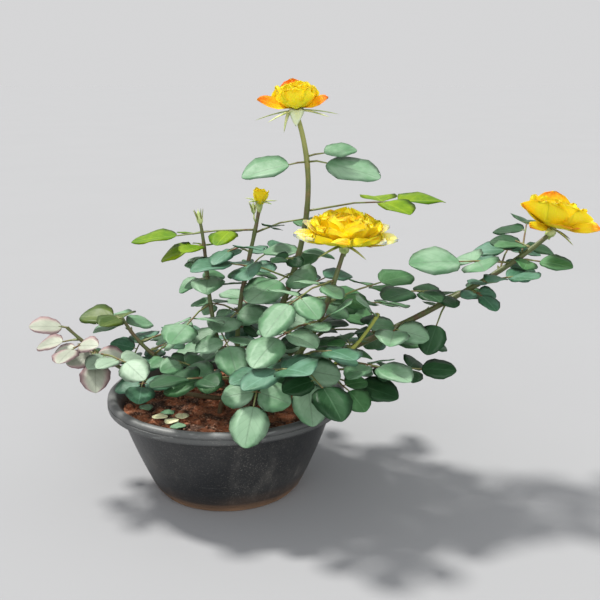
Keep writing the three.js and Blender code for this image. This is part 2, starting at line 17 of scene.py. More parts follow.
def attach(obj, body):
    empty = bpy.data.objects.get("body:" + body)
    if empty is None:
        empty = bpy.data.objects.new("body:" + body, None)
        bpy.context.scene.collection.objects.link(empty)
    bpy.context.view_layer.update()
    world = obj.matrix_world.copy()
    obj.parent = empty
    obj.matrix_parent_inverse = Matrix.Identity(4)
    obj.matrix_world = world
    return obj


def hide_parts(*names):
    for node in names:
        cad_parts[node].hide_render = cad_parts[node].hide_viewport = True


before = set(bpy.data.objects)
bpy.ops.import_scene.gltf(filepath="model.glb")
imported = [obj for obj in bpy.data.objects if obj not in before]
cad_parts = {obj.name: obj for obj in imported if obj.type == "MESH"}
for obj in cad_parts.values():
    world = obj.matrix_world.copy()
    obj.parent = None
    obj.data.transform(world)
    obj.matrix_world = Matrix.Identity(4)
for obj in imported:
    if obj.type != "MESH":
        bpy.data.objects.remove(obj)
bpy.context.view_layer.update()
cane_nodes = sorted(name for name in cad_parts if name.endswith("_cane"))
shoot_nodes = sorted(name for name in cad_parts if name.endswith("_shoot"))

# %% [markdown]
# ## Camera
#
# The photograph looks a little down on the pot. Its rim shows as an ellipse whose flatness gives
# the camera's tilt, and the rim's width gives the distance. One fit of the rim, wall and foot
# gave these numbers. The focal length is kept in pixels, as the fit found it.

# %% Camera at the photograph's angle
CAMERA_PLACE = (0.082, -0.972, 0.472)
CAMERA_TILT = 75.17
FOCAL_PIXELS = 917
FRAME_PIXELS = 600
SENSOR_WIDTH = 36

bpy.ops.object.camera_add(location=CAMERA_PLACE, rotation=(radians(CAMERA_TILT), 0, 0))
camera = bpy.context.object
camera.data.sensor_width = SENSOR_WIDTH
camera.data.lens = SENSOR_WIDTH * FOCAL_PIXELS / FRAME_PIXELS
bpy.context.scene.camera = camera
print("lens", round(camera.data.lens, 2), "mm")

# %% [markdown]
# ## Shader maths as plain sums
#
# A finish is a small network of nodes. Wiring it by hand hides the idea, so one class wraps a
# socket and lets Python's own signs add the Math nodes. Every other node comes from one method
# that takes its type, its settings and what goes into its sockets.

# %% A wrapped socket, and a finish that makes nodes
class Wire:
    """An output socket that can stand in a sum."""

    def __init__(self, finish, socket):
        self.finish = finish
        self.socket = socket

    def math(self, operation, *values):
        return self.finish.node("ShaderNodeMath", {"operation": operation}, dict(enumerate(values)))

    def __add__(self, other):
        return self.math("ADD", self, other)

    def __sub__(self, other):
        return self.math("SUBTRACT", self, other)

    def __mul__(self, other):
        return self.math("MULTIPLY", self, other)

    def __rsub__(self, other):
        return self.math("SUBTRACT", other, self)

    def __abs__(self):
        return self.math("ABSOLUTE", self)

    __radd__, __rmul__ = __add__, __mul__

    def wave(self):
        """0 to 1 and back, once for each whole number."""
        return self.math("PINGPONG", self, 0.5) * 2

    def from_to(self, low, high):
        """0 at low and 1 at high, with soft ends."""
        settings = {"interpolation_type": "SMOOTHSTEP"}
        return self.finish.node("ShaderNodeMapRange", settings, {"Value": self, 1: low, 2: high})


def named(socket):
    """The shader's own name of a socket, from the same words in Python's way."""
    return socket.replace("_", " ").title().replace("Ior", "IOR")


class Finish:
    """One material, with the constants of its shader set on its own sockets."""

    def __init__(self, name, **constants):
        self.material = bpy.data.materials.new(name)
        self.material.use_nodes = True
        self.tree = self.material.node_tree
        self.shader = self.tree.nodes["Principled BSDF"]
        for socket, value in constants.items():
            self.shader.inputs[named(socket)].default_value = value

    def node(self, kind, settings, inputs, output=0):
        new = self.tree.nodes.new(kind)
        for key, value in settings.items():
            setattr(new, key, value)
        for key, value in inputs.items():
            if isinstance(value, Wire):
                self.tree.links.new(value.socket, new.inputs[key])
            else:
                new.inputs[key].default_value = value
        return Wire(self, new.outputs[output])

    def place(self):
        return self.node("ShaderNodeTexCoord", {}, {}, "Object")

    def stretched(self, scale):
        return self.node("ShaderNodeMapping", {}, {"Vector": self.place(), "Scale": scale})

    def across_and_along(self):
        """The two numbers of the piece's own map: across the blade, and along it."""
        both = self.node("ShaderNodeUVMap", {"uv_map": "blade"}, {})
        return [self.node("ShaderNodeSeparateXYZ", {}, {"Vector": both}, axis) for axis in "XY"]

    def upright(self):
        """Height over the ground, in metres."""
        return self.node("ShaderNodeSeparateXYZ", {}, {"Vector": self.place()}, "Z")

    def cloud(self, scale, detail=3.0, vector=None):
        sockets = {"Vector": vector or self.place(), "Scale": scale, "Detail": detail}
        return self.node("ShaderNodeTexNoise", {}, sockets)

    def mixed(self, mask, first, second):
        """The first colour where the mask is 0, and the second where it is 1."""
        colours = {0: mask}
        for socket, colour in ((6, first), (7, second)):
            colours[socket] = colour if isinstance(colour, Wire) else (*colour, 1)
        return self.node("ShaderNodeMix", {"data_type": "RGBA"}, colours, 2)

    def set(self, **links):
        for socket, wire in links.items():
            self.tree.links.new(wire.socket, self.shader.inputs[named(socket)])

    def bump(self, height, depth):
        self.set(normal=self.node("ShaderNodeBump", {}, {"Height": height, "Distance": depth}))


def mottled(name, scale, first, second, ends=None, **constants):
    """A finish of two colours that one soft noise mixes, harder where its two ends are given."""
    skin = Finish(name, **constants)
    mask = skin.cloud(scale)
    skin.set(base_color=skin.mixed(mask.from_to(*ends) if ends else mask, first, second))
    return skin


# %% [markdown]
# ## Shapes: turned solids and gathered blades
#
# The pot, the soil and the crown are round, so each starts as one disc whose face is extruded
# and scaled from ring to ring, as a potter pulls up a wall. A bush has hundreds of small blades,
# and an operator for each would take minutes, so blades and stalks are worked out as arrays and
# gathered into one mesh a kind. Both ways end with the place in the mesh and the object at the
# origin.

# %% Round solids pulled up from a disc
def alone(piece=None):
    """Deselects everything, and then selects the piece that is given."""
    bpy.ops.object.select_all(action="DESELECT")
    if piece:
        piece.select_set(True)
        bpy.context.view_layer.objects.active = piece


def closed_up(name):
    """Turns all faces outwards, leaves edit mode and puts the object's place in its mesh."""
    bpy.ops.mesh.select_all(action="SELECT")
    bpy.ops.mesh.normals_make_consistent(inside=False)
    bpy.ops.object.mode_set(mode="OBJECT")
    bpy.ops.object.transform_apply(location=True, rotation=True, scale=True)
    bpy.context.object.name = name
    return bpy.context.object


def pulled_up(name, profile, sides, centre=(0, 0)):
    """A closed round solid from pairs of radius and height, in metres."""
    alone()
    radius, height = profile[0]
    place = (*centre, height)
    bpy.ops.mesh.primitive_circle_add(vertices=sides, radius=radius, fill_type="NGON", location=place)
    bpy.ops.object.mode_set(mode="EDIT")
    bpy.ops.mesh.select_mode(type="FACE")
    bpy.ops.mesh.select_all(action="SELECT")
    for (before, low), (after, high) in zip(profile, profile[1:]):
        bpy.ops.mesh.extrude_region_move(TRANSFORM_OT_translate={"value": (0, 0, high - low)})
        share = after / before
        bpy.ops.transform.resize(value=(share, share, 1), center_override=(*centre, high))
    return closed_up(name)


def reshaped(piece, rule):
    """Moves every corner of a piece to where a rule puts it."""
    for corner in piece.data.vertices:
        corner.co = rule(corner.co.copy())
    piece.data.update()


def smoothed(piece, angle):
    alone(piece)
    bpy.ops.object.shade_smooth_by_angle(angle=radians(angle))


def dressed(piece, slot, finishes, *nodes):
    """Finishes, body and the CAD nodes that a piece stands for. The slot is not used."""
    for finish in finishes:
        piece.data.materials.append(finish.material)
    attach(piece, "root")
    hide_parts(*nodes)
    print(piece.name, len(piece.data.polygons), "faces")


# %% A bundle that gathers many small shapes as one mesh
MM = 0.001


class Bundle:
    """Points in millimetres, faces, their map and their finish, for one joined mesh."""

    def __init__(self):
        self.points, self.faces, self.marks, self.finishes = [], [], [], []
        self.total = 0

    def add(self, points, faces, marks, finish=0):
        """finish is one number, or one for each face."""
        self.points.append(np.asarray(points))
        self.marks.append(np.asarray(marks))
        self.faces.extend(tuple(int(i) + self.total for i in face) for face in faces)
        many = finish if hasattr(finish, "__len__") else [finish] * len(faces)
        self.finishes.extend(int(number) for number in many)
        self.total += len(points)

    def piece(self, name):
        mesh = bpy.data.meshes.new(name)
        mesh.from_pydata((np.concatenate(self.points) * MM).tolist(), [], self.faces)
        mesh.polygons.foreach_set("material_index", self.finishes)
        mesh.polygons.foreach_set("use_smooth", [True] * len(mesh.polygons))
        corners = np.zeros(len(mesh.loops), dtype=np.int32)
        mesh.loops.foreach_get("vertex_index", corners)
        mesh.uv_layers.new(name="blade").data.foreach_set("uv", np.concatenate(self.marks)[corners].ravel())
        mesh.update()
        piece = bpy.data.objects.new(name, mesh)
        bpy.context.scene.collection.objects.link(piece)
        return piece


# %% [markdown]
# ## Pot
#
# The real pot is blow-moulded black plastic: a wall that flares and swells a little, a rolled lip
# with a groove round it, and a narrow foot with a step. It could be a turned curve, but pulling
# one disc up through named rings keeps it a closed wall of true thickness, inside and out.

# %% Pot wall, lip and foot
RIM_RADIUS = 132.5
POT_HEIGHT = 112
LIP_DROP = 13
LIP_WIDTH = 10
NECK_RADIUS = 120
BASE_RADIUS = 84
FOOT_RADIUS = 78
FOOT_HEIGHT = 7
WALL_BULGE = 2
WALL = 3
POT_SIDES = 128
WALL_RINGS = 9
LIP = POT_HEIGHT - LIP_DROP

# The lip's rings, in from the rim and up from the neck: a round edge, a groove and a flat top
LIP_RINGS = [(1.6, 0.1), (0.4, 1), (0, 2.4), (0, 6.6), (0.9, 7.1), (0.9, 7.9), (0.2, 8.5), (0.6, 10.6),
             (2.2, 12.2), (4.6, 13), (7.4, 12.7), (9.4, 11.4), (LIP_WIDTH + 0.8, 9)]


def wall_share(height):
    return (height - FOOT_HEIGHT) / (LIP - FOOT_HEIGHT)


def wall_radius(height):
    s = wall_share(height)
    return BASE_RADIUS + (NECK_RADIUS - BASE_RADIUS) * s + WALL_BULGE * math.sin(math.pi * s)


def inner_radius(height):
    return wall_radius(height) - WALL


foot = [(FOOT_RADIUS - 1, 0), (FOOT_RADIUS, 0.6), (FOOT_RADIUS + 1, 5.4), (FOOT_RADIUS + 1.4, 6.2)]
foot += [(BASE_RADIUS - 1.6, 6.6), (BASE_RADIUS - 0.3, 7.4)]
heights = [FOOT_HEIGHT + (LIP - FOOT_HEIGHT) * k / WALL_RINGS for k in range(1, WALL_RINGS + 1)]
wall = [(wall_radius(height), height) for height in heights[:-1]]
wall += [(NECK_RADIUS, LIP - 1.2), (NECK_RADIUS + 1.5, LIP)]
lip = [(RIM_RADIUS - inward, LIP + up) for inward, up in LIP_RINGS]
inside = [(NECK_RADIUS - WALL, LIP)] + [(inner_radius(height), height) for height in heights[-2::-2]]
inside += [(FOOT_RADIUS - 3, 4.6), (FOOT_RADIUS - 6, 4)]
rings = [(radius * MM, height * MM) for radius, height in foot + wall + lip + inside]
pot = pulled_up("flared_pot", rings, POT_SIDES)
smoothed(pot, 40)

# %% [markdown]
# The plastic is satin, not glossy: dust lies on it in upright streaks where water ran, and the
# foot and the lowest band of the wall are brown. The lip is grey, partly rubbed and partly a painted
# highlight, lightest along its top edge. Each is a mask that mixes one more colour and one more
# roughness over the black, so one network makes them all.

# %% Satin black plastic with dust, scuffs and a painted highlight on the lip
BLACK = (0.012, 0.0135, 0.0155)
GREY_RUB_AND_HIGHLIGHT = (0.21, 0.22, 0.215)
DUST = (0.17, 0.16, 0.145)
FOOT_BROWN = (0.26, 0.15, 0.085)

plastic = Finish("satin_black_plastic")
upright = plastic.upright()
streaks = plastic.cloud(1.0, 5.0, plastic.stretched((70, 70, 9))).from_to(0.48, 0.78)
patches = plastic.cloud(14.0, 4.0).from_to(0.42, 0.7)
scuffs = plastic.cloud(1.0, 6.0, plastic.stretched((60, 60, 260))).from_to(0.6, 0.72)
near_foot = 1 - upright.from_to(0.002, 0.03)
on_lip = upright.from_to(LIP * MM - 0.001, LIP * MM + 0.004)
specks = plastic.cloud(720.0, 2.0).from_to(0.58, 0.68)
dusty = streaks * patches * 0.4 + patches * 0.1 + specks * (patches * 0.4 + 0.25)
# Painted highlight: the lip and its top edge are lighter grey, on top of the grey of real scuffs.
top_edge_highlight = upright.from_to((POT_HEIGHT - 3) * MM, (POT_HEIGHT - 0.5) * MM)
rubbed_and_highlight = scuffs * (on_lip * 0.4 + 0.08) + on_lip * 0.34 + top_edge_highlight * patches * 0.6
# The foot and the lowest band of the wall are brown.
foot_band = 1 - upright.from_to(0.008, 0.013)
colour = plastic.mixed(dusty, BLACK, DUST)
colour = plastic.mixed(rubbed_and_highlight, colour, GREY_RUB_AND_HIGHLIGHT)
colour = plastic.mixed(near_foot * (patches * 0.45 + 0.1) + foot_band * 0.5, colour, FOOT_BROWN)
plastic.set(base_color=colour, roughness=0.4 + dusty * 0.35 + near_foot * 0.25 + rubbed_and_highlight * 0.1)
plastic.bump(plastic.cloud(240.0, 4.0) * 0.6 + streaks * 0.4, 0.00035)
dressed(pot, "pot", [plastic], "pot")

# %% [markdown]
# ## Soil
#
# The earth is red and crumbly. Its bed is a disc pulled up inside the wall and then drawn in ring
# by ring, so there are corners enough to heap it. The heaps follow the source's own gentle rule,
# and noise adds crumbs on top. Loose clods are one small rounded block, copied with new sizes.

# %% A heaped bed of red earth
SOIL_HEIGHT = 95
SOIL_ROLL = 1.3
BED_SIDES = 150
BED_RINGS = 34
CROWN = np.array([18.0, 0, SOIL_HEIGHT])
CROWN_RADIUS = 13
CROWN_FLARE = 20
FRONT_FOOT = np.array([-6.0, -33, SOIL_HEIGHT + 0.3])
CRUMB_DEPTH = 3.4


def ground(x, y):
    """Height of the earth in millimetres, as the source heaps it."""
    share = min(1, (inner_radius(SOIL_HEIGHT) - math.hypot(x, y)) / 12)
    for seat, clear in ((CROWN, CROWN_FLARE + 4), (FRONT_FOOT, 12)):
        share = min(share, max(0, min(1, (math.hypot(x - seat[0], y - seat[1]) - clear) / 12)))
    roll = math.sin(0.09 * x + 1) * math.cos(0.11 * y) + 0.7 * math.sin(0.2 * x + 0.17 * y)
    return SOIL_HEIGHT + SOIL_ROLL * roll * share


edge = inner_radius(SOIL_HEIGHT) - 0.5
bed_rings = [((inner_radius(10) - 1) * MM, 0.011), ((inner_radius(50) - 1) * MM, 0.05)]
bed_rings += [(edge * MM * (1 - k / BED_RINGS), SOIL_HEIGHT * MM) for k in range(BED_RINGS)]
bed = pulled_up("earth_bed", bed_rings, BED_SIDES)


def crumbled(p):
    if p.z < SOIL_HEIGHT * MM - 0.001:
        return p
    x, y = p.x / MM, p.y / MM
    at_wall = max(0.0, min(1.0, (edge - math.hypot(x, y)) / 6))
    near = noise.voronoi(Vector((x / 11, y / 11, 0.3)))[0]
    clod = max(0.0, 0.62 - near[0]) * 1.5
    crumb = noise.fractal(Vector((x / 5, y / 5, 2.0)), 0.8, 2.1, 4)
    height = ground(x, y) + (clod * CRUMB_DEPTH - 0.8 + crumb * 1.3) * at_wall
    return Vector((p.x, p.y, height * MM))


reshaped(bed, crumbled)
smoothed(bed, 60)

# %% Dice that fall the same in every run
class Dice:
    """Repeatable dice, the same rule as in the source."""

    def __init__(self, seed):
        self.state = seed

    def roll(self):
        self.state = self.state * 16807 % 2147483647
        return self.state / 2147483647

    def spread(self, amount):
        return (2 * self.roll() - 1) * amount


# %% Loose clods from one rounded block
CLOD_COUNT = 300
CLOD_REACH = 108
CLOD_SIZES = (1.1, 4.6)
FEW_LARGE = 3.2


def rounded_block():
    """Points and faces of a cube cut once and pushed out to a ball."""
    alone()
    bpy.ops.mesh.primitive_cube_add(size=1, location=(0, 0, 0))
    block = bpy.context.object
    bpy.ops.object.mode_set(mode="EDIT")
    bpy.ops.mesh.select_all(action="SELECT")
    bpy.ops.mesh.subdivide(number_cuts=1)
    bpy.ops.transform.tosphere(value=0.8)
    bpy.ops.object.mode_set(mode="OBJECT")
    points = np.array([corner.co for corner in block.data.vertices])
    faces = [tuple(face.vertices) for face in block.data.polygons]
    bpy.data.objects.remove(block)
    return points / np.abs(points).max(), faces


block_points, block_faces = rounded_block()
clods = Bundle()
dice = Dice(77)
for number in range(CLOD_COUNT):
    azimuth, off = 2 * math.pi * dice.roll(), CLOD_REACH * math.sqrt(dice.roll())
    size = CLOD_SIZES[0] + CLOD_SIZES[1] * dice.roll() ** FEW_LARGE
    x, y = off * math.cos(azimuth), off * math.sin(azimuth)
    turn = 2 * math.pi * dice.roll()
    lumpy = [1 + 0.3 * noise.noise(Vector(p) * 2 + Vector((number, 0, 0))) for p in block_points]
    p = block_points * np.array(lumpy)[:, None] * size * (1 + dice.spread(0.25), 1, 0.75)
    spun = np.stack([p[:, 0] * math.cos(turn) - p[:, 1] * math.sin(turn),
                     p[:, 0] * math.sin(turn) + p[:, 1] * math.cos(turn), p[:, 2]], 1)
    if math.hypot(x - CROWN[0], y - CROWN[1]) > CROWN_FLARE + size:
        clods.add(spun + (x, y, ground(x, y) + size * 0.15 + 0.4), block_faces, block_points[:, :2])
loose_clods = clods.piece("loose_clods")

# %% [markdown]
# Two noises of unlike grain mix three reds, and the bump of the finer one breaks up every
# highlight. The reds are partly the earth's own and partly painted light: the pale and mid reds
# are as bright as the earth looks in sun, and the dark red as dark as it looks in shade.

# %% Crumbly red earth
# Partly painted light: the dark red stands in for shade, and the pale red for full sun.
DARK_RED_AND_SHADE = (0.05, 0.02, 0.01)
EARTH_RED = (0.42, 0.15, 0.07)
PALE_RED_AND_SUNLIGHT = (0.66, 0.4, 0.27)

earth = Finish("red_earth", roughness=0.95)
grain = earth.cloud(420.0, 5.0)
clumps = earth.cloud(60.0, 4.0)
colour = earth.mixed(clumps.from_to(0.38, 0.6), DARK_RED_AND_SHADE, EARTH_RED)
colour = earth.mixed(grain.from_to(0.52, 0.72) * 0.7, colour, PALE_RED_AND_SUNLIGHT)
earth.set(base_color=colour)
earth.bump(grain + clumps * 0.5, 0.0014)
dressed(bed, "soil", [earth], "soil")
dressed(loose_clods, "soil", [earth], "soil")

# %% [markdown]
# ## The growing rule
#
# The source grows the bush by rule: each limb is one cubic curve, each leaf is tried where its
# turn round the stem falls, and a leaf is taken up only where it keeps clear of all before it.
# The same rule is written again here, in the same millimetres and with the same dice, so each
# leaf of the source has its finer leaf here, on the same stalk.

# %% Limbs
# Name; azimuth, rise and height at the crown; tip; azimuth and rise at the tip; radii; pull of
# the two ends; and number of leaves, first and last place, leaflet length and seed
SHOOTS = [
    ("top", (15, 66, 22), (79, 15, 412), (185, 72), (3.6, 2.6), (0.42, 0.34), (4, 0.24, 0.6, 42, 164)),
    ("centre", (-30, 30, 20), (128, -35, 277), (40, 66), (3.2, 2.3), (0.5, 0.42), (4, 0.42, 0.92, 38, 101)),
    ("right", (-4, 26, 12), (344, -25, 293), (5, 42), (3.8, 2.4), (0.34, 0.26), (7, 0.34, 0.92, 40, 101)),
    ("bud", (120, 74, 24), (37, 35, 311), (20, 80), (3, 2), (0.4, 0.3), (5, 0.3, 0.9, 38, 192)),
    ("left", (170, 62, 18), (-28, 30, 294), (150, 78), (2.9, 1.8), (0.4, 0.3), (5, 0.3, 0.94, 36, 234)),
    ("low_left", (176, 16, 14), (-116, 10, 191), (180, 62), (2.8, 1.7), (0.46, 0.36),
     (5, 0.4, 0.94, 37, 297)),
    ("far_left", (200, 6, 6), (-170, -20, 189), (180, 46), (2.8, 1.6), (0.4, 0.32), (5, 0.44, 0.92, 33, 171)),
    ("front", (20, 82, 0), (43, -84, 163), (-60, 40), (2.7, 1.7), (0.42, 0.25), (2, 0.4, 0.96, 42, 241)),
    ("front_right", (-66, 50, 8), (84, -78, 180), (-60, 50), (2.8, 1.7), (0.42, 0.25),
     (5, 0.3, 0.96, 42, 311)),
    ("low_right", (-34, 22, 6), (163, -60, 216), (-5, 62), (2.8, 1.7), (0.5, 0.34), (5, 0.42, 0.92, 38, 290)),
    ("back", (80, 50, 14), (55, 115, 184), (70, 60), (2.8, 1.8), (0.42, 0.28), (6, 0.3, 1, 40, 178)),
    ("back_left", (130, 36, 10), (-33, 90, 153), (140, 50), (2.7, 1.7), (0.42, 0.28), (5, 0.34, 1, 40, 220)),
    ("back_right", (42, 34, 12), (144, 85, 190), (30, 55), (2.8, 1.7), (0.42, 0.28), (5, 0.34, 1, 40, 206)),
]

# %% Leaves that show singly
# Shoot, place on it, azimuth, rise, reach, leaflet length, pairs of leaflets, droop and tint
NAMED_LEAVES = [
    ("front", 1, -103, -32, 87, 44, 2, 16, "mint"),
    ("front_right", 1, -77, -37, 79, 42, 2, 20, "mint"),
    ("top", 0.83, -20, 14, 83, 60, 0, 30, "mint"),
    ("top", 0.85, 10, 17, 56, 36, 0, 14, "mint"),
    ("top", 0.83, -173, 0, 72, 52, 0, 16, "mint"),
    ("top", 0.64, 22, 9, 172, 58, 1, 14, "lime"),
    ("top", 0.4, -131, -7, 74, 50, 1, 12, "mint"),
    ("bud", 0.86, 177, 1, 141, 52, 2, 12, "lime"),
    ("bud", 0.36, -105, 13, 71, 42, 1, 20, "mint"),
    ("left", 0.66, -85, 12, 53, 38, 1, 24, "mint"),
    ("left", 0.86, 165, -8, 56, 40, 1, 16, "lime"),
    ("far_left", 1, -158, 23, 40, 34, 0, 20, "young"),
    ("far_left", 0.8, -79, -15, 57, 36, 1, 24, "young"),
    ("far_left", 0.9, 169, -2, 54, 32, 0, 16, "young"),
    ("low_left", 1, 169, 10, 51, 40, 1, 14, "olive"),
    ("low_left", 0.62, -38, 42, 73, 46, 0, 10, "mint"),
    ("low_right", 0.98, -127, 42, 44, 34, 0, 10, "mint"),
    ("low_right", 0.5, -9, 11, 137, 36, 2, 14, "dark"),
    ("low_right", 0.44, -22, 0, 90, 44, 0, 14, "dark"),
    ("centre", 0.6, -57, 38, 64, 34, 0, 10, "mint"),
    ("right", 0.62, -123, -24, 68, 34, 0, 30, "dark"),
    ("right", 0.84, -168, 10, 113, 54, 1, 12, "mint"),
    ("right", 0.92, 124, 16, 68, 44, 1, 10, "mid"),
    ("right", 0.86, -31, 8, 59, 34, 1, 14, "mid"),
]

GOLDEN = 137.5
NEXT_TRY = 47
TRIES = 14
STEM_MARKS = 40
BLADE_SHARE = 0.92
TURN_TO_LIGHT = 0.75

# %% Directions, turns and the curve of a limb
def vec(*numbers):
    return np.array(numbers, float)


def unit(v):
    return v / math.sqrt(float(v @ v))


def cross(a, b):
    return vec(a[1] * b[2] - a[2] * b[1], a[2] * b[0] - a[0] * b[2], a[0] * b[1] - a[1] * b[0])


def heading(azimuth, rise):
    """Unit vector of an azimuth and a rise above the level, in degrees."""
    a, e = radians(azimuth), radians(rise)
    return vec(math.cos(a) * math.cos(e), math.sin(a) * math.cos(e), math.sin(e))


def turned(v, axis, angle):
    a = radians(angle)
    return v * math.cos(a) + cross(axis, v) * math.sin(a) + axis * float(axis @ v) * (1 - math.cos(a))


class Limb:
    """One cubic curve from the crown to the tip, thinner all the way."""

    def __init__(self, row):
        self.name, (azimuth, rise, height), tip, lean, self.radii, pull, leaves = row
        self.count, self.begin, self.end, self.length, self.seed = leaves
        start = CROWN + heading(azimuth, 0) * CROWN_RADIUS * 0.6 + vec(0, 0, height)
        if self.name == "front":  # the one that stands in the soil by itself
            start = FRONT_FOOT
        tip = vec(*tip)
        span = float(np.linalg.norm(tip - start))
        self.points = [start, start + heading(azimuth, rise) * span * pull[0],
                       tip - heading(*lean) * span * pull[1], tip]

    def at(self, t):
        u = 1 - t
        a, b, c, d = self.points
        return a * u ** 3 + b * 3 * u * u * t + c * 3 * u * t * t + d * t ** 3

    def way(self, t):
        return unit(self.at(min(t + 0.01, 1)) - self.at(max(t - 0.01, 0)))

    def radius(self, t):
        return self.radii[0] + (self.radii[1] - self.radii[0]) * t


# %% One leaflet, and one leaf with its stalk
SAMPLE_ROWS = ((0.08, 0.3), (0.3, 0.5, 0.9), (0.55, 0.5, 1.0), (0.8, 0.35, 0.65), (1.0,))


class Blade:
    """A leaflet as a flat oval: where it starts, its way, its face, its length."""

    def __init__(self, base, way, normal, length):
        self.base = base
        self.way = unit(way)
        self.side = unit(cross(normal, self.way))
        self.face = cross(self.way, self.side)
        self.length = length
        self.width = length * BLADE_SHARE
        self.centre = base + self.way * length / 2

    def samples(self):
        marks = []
        for share, *halves in SAMPLE_ROWS:
            middle = self.base + self.way * self.length * share
            marks.append(middle)
            for half in halves:
                out = self.side * self.width / 2 * half
                marks += [middle + out, middle - out]
        return np.array(marks)

    def holds(self, points, gap, room):
        """Whether any of the points lies in the leaflet's own flat space."""
        d = np.atleast_2d(points) - self.centre
        a = d @ self.way / (self.length / 2 + room)
        b = d @ self.side / (self.width / 2 + room)
        return bool(np.any((np.abs(d @ self.face) <= gap) & (a * a + b * b < 1)))


def grown_leaf(p, azimuth, rise, reach, length, pairs, droop, roll, dice):
    """Points of a stalk and its leaflets, an end one and pairs beside the stalk."""
    steps = 4
    stalk = max(reach - length, 6)
    level = heading(azimuth + 90, 0)
    points = [p]
    for k in range(steps):
        points.append(points[-1] + heading(azimuth, rise - droop * (k + 0.5) / steps) * stalk / steps)
    light = vec(0, -0.55, 1) + heading(azimuth, 0) * 0.3
    blades = []

    def leaflet(share, angle, sag, twist, size):
        stalk_way = heading(azimuth, rise - droop * share)
        up = turned(cross(stalk_way, level), stalk_way, roll)
        way = turned(stalk_way, up, angle)
        side = unit(cross(up, way))
        way = turned(way, side, sag)
        want = unit(light - way * float(light @ way))
        face = unit(cross(way, side) * (1 - TURN_TO_LIGHT) + want * TURN_TO_LIGHT)
        half = 0 if share < 0.5 else 2
        on = points[half] + (points[half + 2] - points[half]) * (share * 2 - half / 2)
        blades.append(Blade(on + way * 3 if angle else points[-1], way, turned(face, way, twist), size))
        blades[-1].foot = on

    end_sag = 2 + dice.spread(8)
    leaflet(1, 0, end_sag, dice.spread(10), length)
    for k in range(pairs):
        place = max(0.15, 1 - (0.38 + 0.8 * k) * length / stalk)
        for sign in (1, -1):
            angle = sign * (78 + dice.spread(10))
            sag = 5 + dice.spread(9)
            twist = dice.spread(14)
            leaflet(place, angle, sag, twist, length * (0.82, 0.7)[k] * (1 + dice.spread(0.08)))
    return points, blades


# %% Blooms: shoot, radius, height, azimuth and rise of the axis, sepal length
BLOOMS = [
    ("top", 40, 32, 180, 86, 46),
    ("centre", 46, 36, -60, 84, 34),
    ("right", 42, 34, 0, 70, 34),
    ("bud", 14, 24, 0, 84, 18),
]

# %% [markdown]
# A leaf is tried on paper first. Its leaflets are flat ovals, so whether one touches a stem, a
# stalk, the pot, a bloom or another leaflet is a few products of vectors. What fails is turned a
# little further round its stem and tried again.

# %% Keeping clear of pot, blooms, stems, stalks and other leaflets
def clear_of_pot(points, gap):
    p = np.atleast_2d(points)
    off = np.hypot(p[:, 0], p[:, 1])
    inner = off < RIM_RADIUS - LIP_WIDTH - gap
    over = off < RIM_RADIUS + gap
    least = np.where(inner, SOIL_HEIGHT + 7, np.where(over, POT_HEIGHT + gap, 40))
    return bool(np.all(p[:, 2] > least))


def stalk_marks(points, first):
    """The points of a stalk and those half-way between them, from its first ones on."""
    return np.array(points[first + 1:] + [(points[k] + points[k + 1]) / 2 for k in range(first, 4)])


# Gap over a blade's face and room round its edge, to a stem, to stalks and to another blade
WIDE_GAPS = ((3, 1.5), (4, 2), (5, 3))
CLOSE_GAPS = ((1.5, 0), (2.5, 1), (3, 1))


